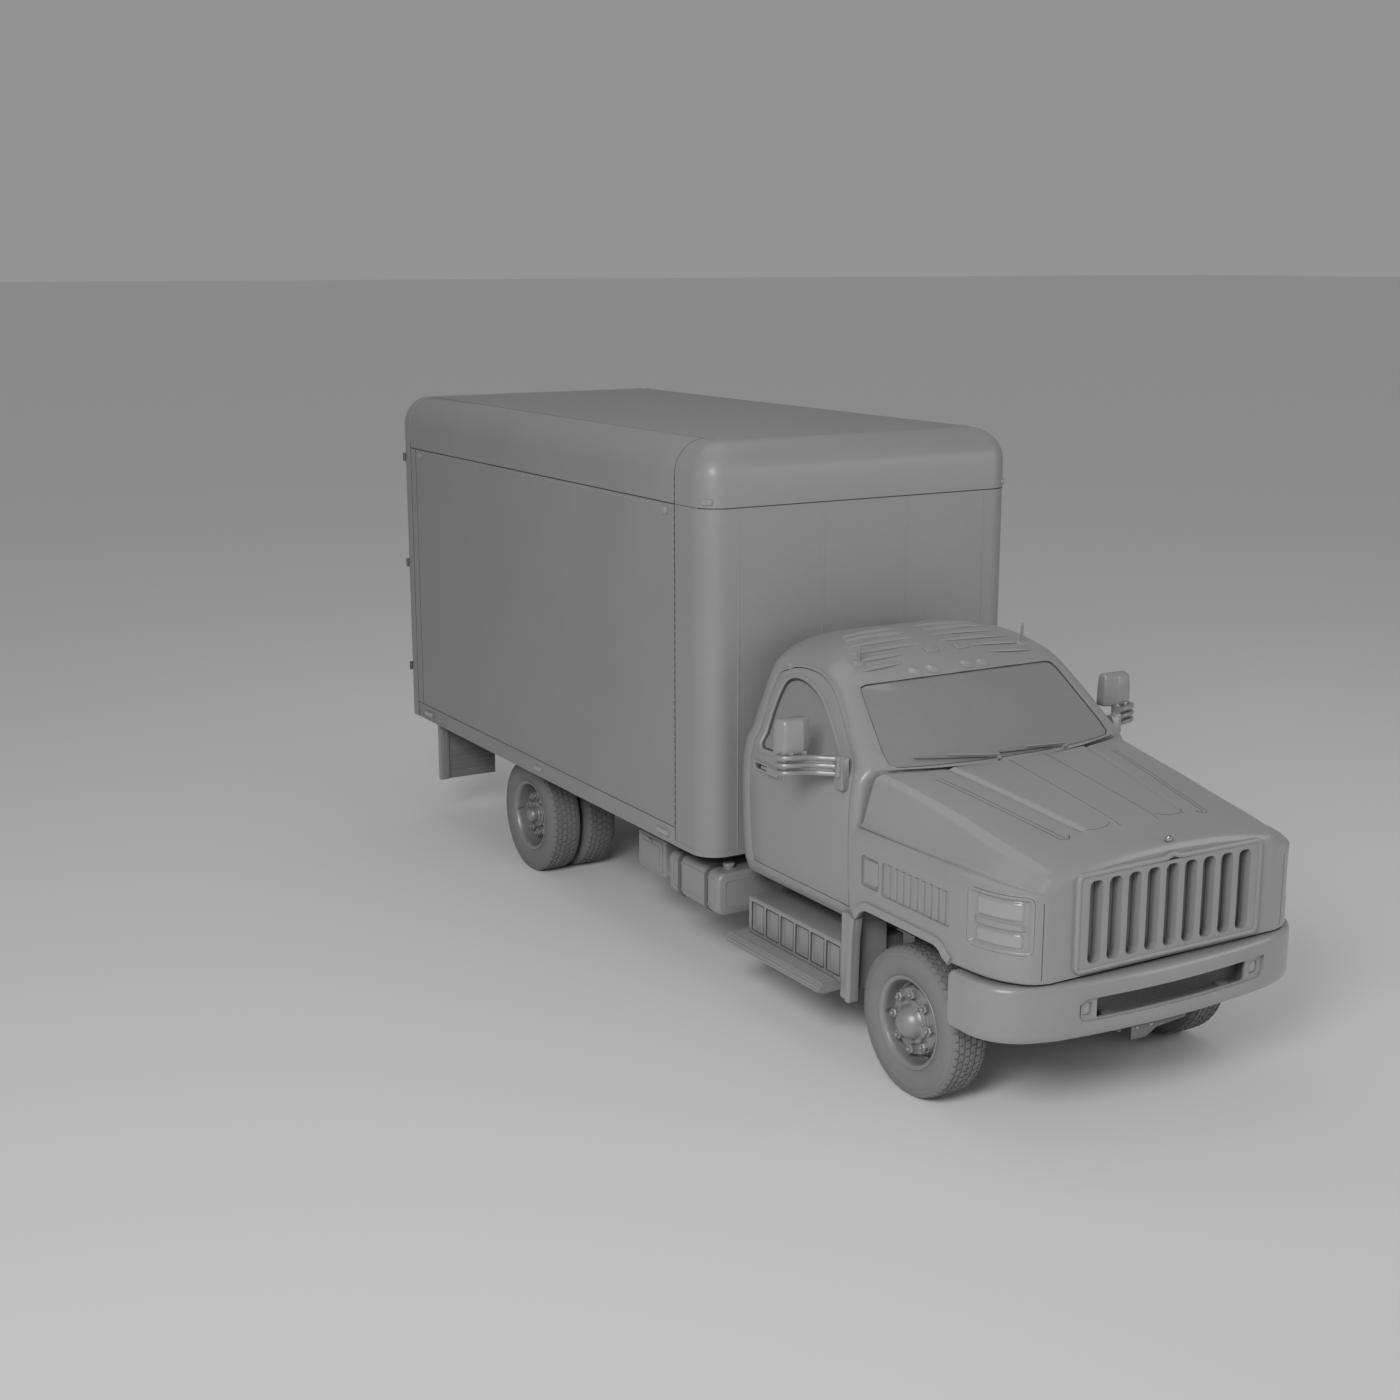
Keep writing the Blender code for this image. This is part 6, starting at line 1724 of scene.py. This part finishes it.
def makeFlaps():
    y = rearAxle + 1.47
    for name, side in sides:
        flap = box((0.66, y, 0.4), (1.095, y + 0.012, bodyBottom - 0.0005), 0.003, 1)
        ribs = row(box((0.672, y - 0.0035, 0.0), (1.085, y + 0.001, 0.01), 0.002, 1), "tyreRubber", (0, 0, 0.47),
                   (0, 0, 0.62), 5)
        place("mudFlap" + name, onSide(merged(flap, ribs), side), "tyreRubber", stands=["mud_flap_" + name.lower()])
        strap = box((1.09, y - 0.02, 0.4), (1.17, y + 0.03, bodyBottom - 0.0005), 0.006, 2)
        groove = box((1.108, y - 0.0225, 0.42), (1.116, y - 0.018, 0.88), 0.001, 1)
        bolts = [stud(0.009, 0.005, 10, (1.145, y - 0.02, z), (0, -1, 0)) for z in (0.45, 0.62, 0.8)]
        hanger = box((0.64, y - 0.012, 0.862), (1.12, y + 0.024, bodyBottom - 0.0005), 0.003, 1)
        place("mudFlapEdge" + name, onSide(merged(strap, groove, hanger, *bolts), side), "cabPaint")
        # Splash guard behind the front wheel
        x1 = 1.095
        outline = [(0.475, 0.405, 0.012), (0.598, 0.405, 0.012), (0.598, 0.942, 0.004), (0.442, 0.942, 0.004),
                   (0.462, 0.8, 0.05)]
        guard = panel([filleted(outline, 4, True)], "X", x1 - 0.05, x1, 0.008, 3)
        apron = box((0.8, 0.54, 0.45), (x1 - 0.045, 0.552, 0.93), 0.003, 1)
        lip = sweep([(x1, 0.475, 0.41), (x1, 0.462, 0.8), (x1, 0.444, 0.942)],
                    roundRect((0.0, -0.02), (0.046, 0.023), 0.009, 3), up=(1, 0, 0))
        place("splashGuard" + name, onSide(merged(guard, apron, lip), side), "cabPaint",
              stands=["splash_guard_" + name.lower()])


def makeUnderside():
    pipe = smoothLine([(0.26, 0.15, 0.7), (0.29, 0.6, 0.52), (0.3, 1.2, 0.5), (0.3, 1.75, 0.5)], 6)
    tail = smoothLine([(0.3, 2.45, 0.5), (0.28, 3.05, 0.52), (0.27, 3.55, 0.56)], 5)
    muffler = shellBox((0.205, 1.74, 0.43), (0.385, 2.46, 0.575), 0.06)
    place("exhaust", merged(tube(pipe, 0.032, 14), tube(tail, 0.03, 14), muffler), "chassisPaint", sharp=40)
    joints = []
    for y, z in ((1.22, 0.598), (rearAxle - 0.4, 0.445)):
        joints.append(box((-0.058, y - 0.035, z - 0.03), (0.058, y + 0.035, z + 0.03), 0.018, 3))
    place("shaftJoints", merged(*joints), "chassisPaint")
    lines = [tube([(sign * 0.385, y, z) for y, z in ((-0.3, 0.8), (1.6, 0.82), (3.4, 0.82), (rearAxle - 0.95, 0.8))],
                  0.007, 8) for sign in (-1, 1)]
    place("brakeLines", merged(*lines), "tyreRubber")
    bolts = []
    for sign in (-1, 1):
        for y in (rearAxle - 0.06, rearAxle + 0.06):
            bolts += [tube([(sign * x, y, 0.45), (sign * x, y, 0.6)], 0.009, 8, up=(1, 0, 0)) for x in (0.475, 0.385)]
    place("springBolts", merged(*bolts), "chassisPaint")
    hangers = []
    for sign in (-1, 1):
        for y in (-0.66, 0.66, rearAxle - 0.7, rearAxle + 0.7):
            outline = [(y - 0.03, 0.52, 0.02), (y + 0.03, 0.52, 0.02), (y + 0.045, 0.7, 0.01),
                       (y - 0.045, 0.7, 0.01)]
            hangers.append(panel([filleted(outline, 4, True)], "X", sign * 0.43 - 0.042, sign * 0.43 + 0.042, 0.004))
    place("springHangers", merged(*hangers), "chassisPaint", sharp=40)


makeSteps()
makeTanks()
makeFlaps()
makeUnderside()
print("steps, tank, flaps and underside made")


# Frame pieces that keep their shape, with rounded edges

plainRounding = {"chassis_frame": 0.006, "engine_block": 0.02, "front_axle": 0.006, "rear_axle": 0.004,
                 "knuckle_left": 0.006, "knuckle_right": 0.006, "long_sill_left": 0.004,
                 "long_sill_right": 0.004, "cargo_floor": 0.004}
for node, obj in frame["nodes"].items():
    if obj.hide_render:
        continue
    slot = slotOf[node]
    if node in plainRounding:
        place(node + "_shaped", rounded(fromFrame(node), plainRounding[node]), finishOfSlot[slot], bodyOf[node], [node],
              slot)
    else:
        obj.data.materials.clear()
        obj.data.materials.append(looks[finishOfSlot[slot]])
print("frame pieces finished")


# Stage

stage = {
    "floor": 0.8, "sky": 0.75, "skyStrength": 0.42,
    # name, place, size, power
    "lights": (("key", (-9, -9, 7.5), 4, 1200), ("fill", (8, -10, 5), 6, 300), ("top", (0, 2, 11), 8, 180)),
    "camera": dict(spot=(-7.367, -11.259, 4.697), pitch=77.187, turn=-30.635, lens=50),
}


def makeStage():
    floor = asObject(box((-400, -400, -0.2), (400, 400, 0.0)), "floor")
    material = bpy.data.materials.new("studioFloor")
    material.use_nodes = True
    shader = material.node_tree.nodes["Principled BSDF"]
    shader.inputs["Base Color"].default_value = (stage["floor"],) * 3 + (1,)
    shader.inputs["Roughness"].default_value = 0.9
    floor.data.materials.append(material)
    world = bpy.data.worlds.new("studio")
    world.use_nodes = True
    background = world.node_tree.nodes["Background"]
    background.inputs["Color"].default_value = (stage["sky"],) * 3 + (1,)
    background.inputs["Strength"].default_value = stage["skyStrength"]
    bpy.context.scene.world = world
    for name, spot, size, power in stage["lights"]:
        light = bpy.data.lights.new(name, "AREA")
        light.energy = power
        light.size = size
        lamp = bpy.data.objects.new(name, light)
        lamp.location = spot
        lamp.rotation_euler = (Vector((0, 0, 1.2)) - Vector(spot)).to_track_quat("-Z", "Y").to_euler()
        bpy.context.scene.collection.objects.link(lamp)


def makeCamera():
    view = stage["camera"]
    data = bpy.data.cameras.new("camera")
    data.lens = view["lens"]
    data.sensor_width = 36
    camera = bpy.data.objects.new("camera", data)
    camera.location = view["spot"]
    camera.rotation_euler = (math.radians(view["pitch"]), 0, math.radians(view["turn"]))
    bpy.context.scene.collection.objects.link(camera)
    bpy.context.scene.camera = camera


makeStage()
makeCamera()
print("stage and camera ready")
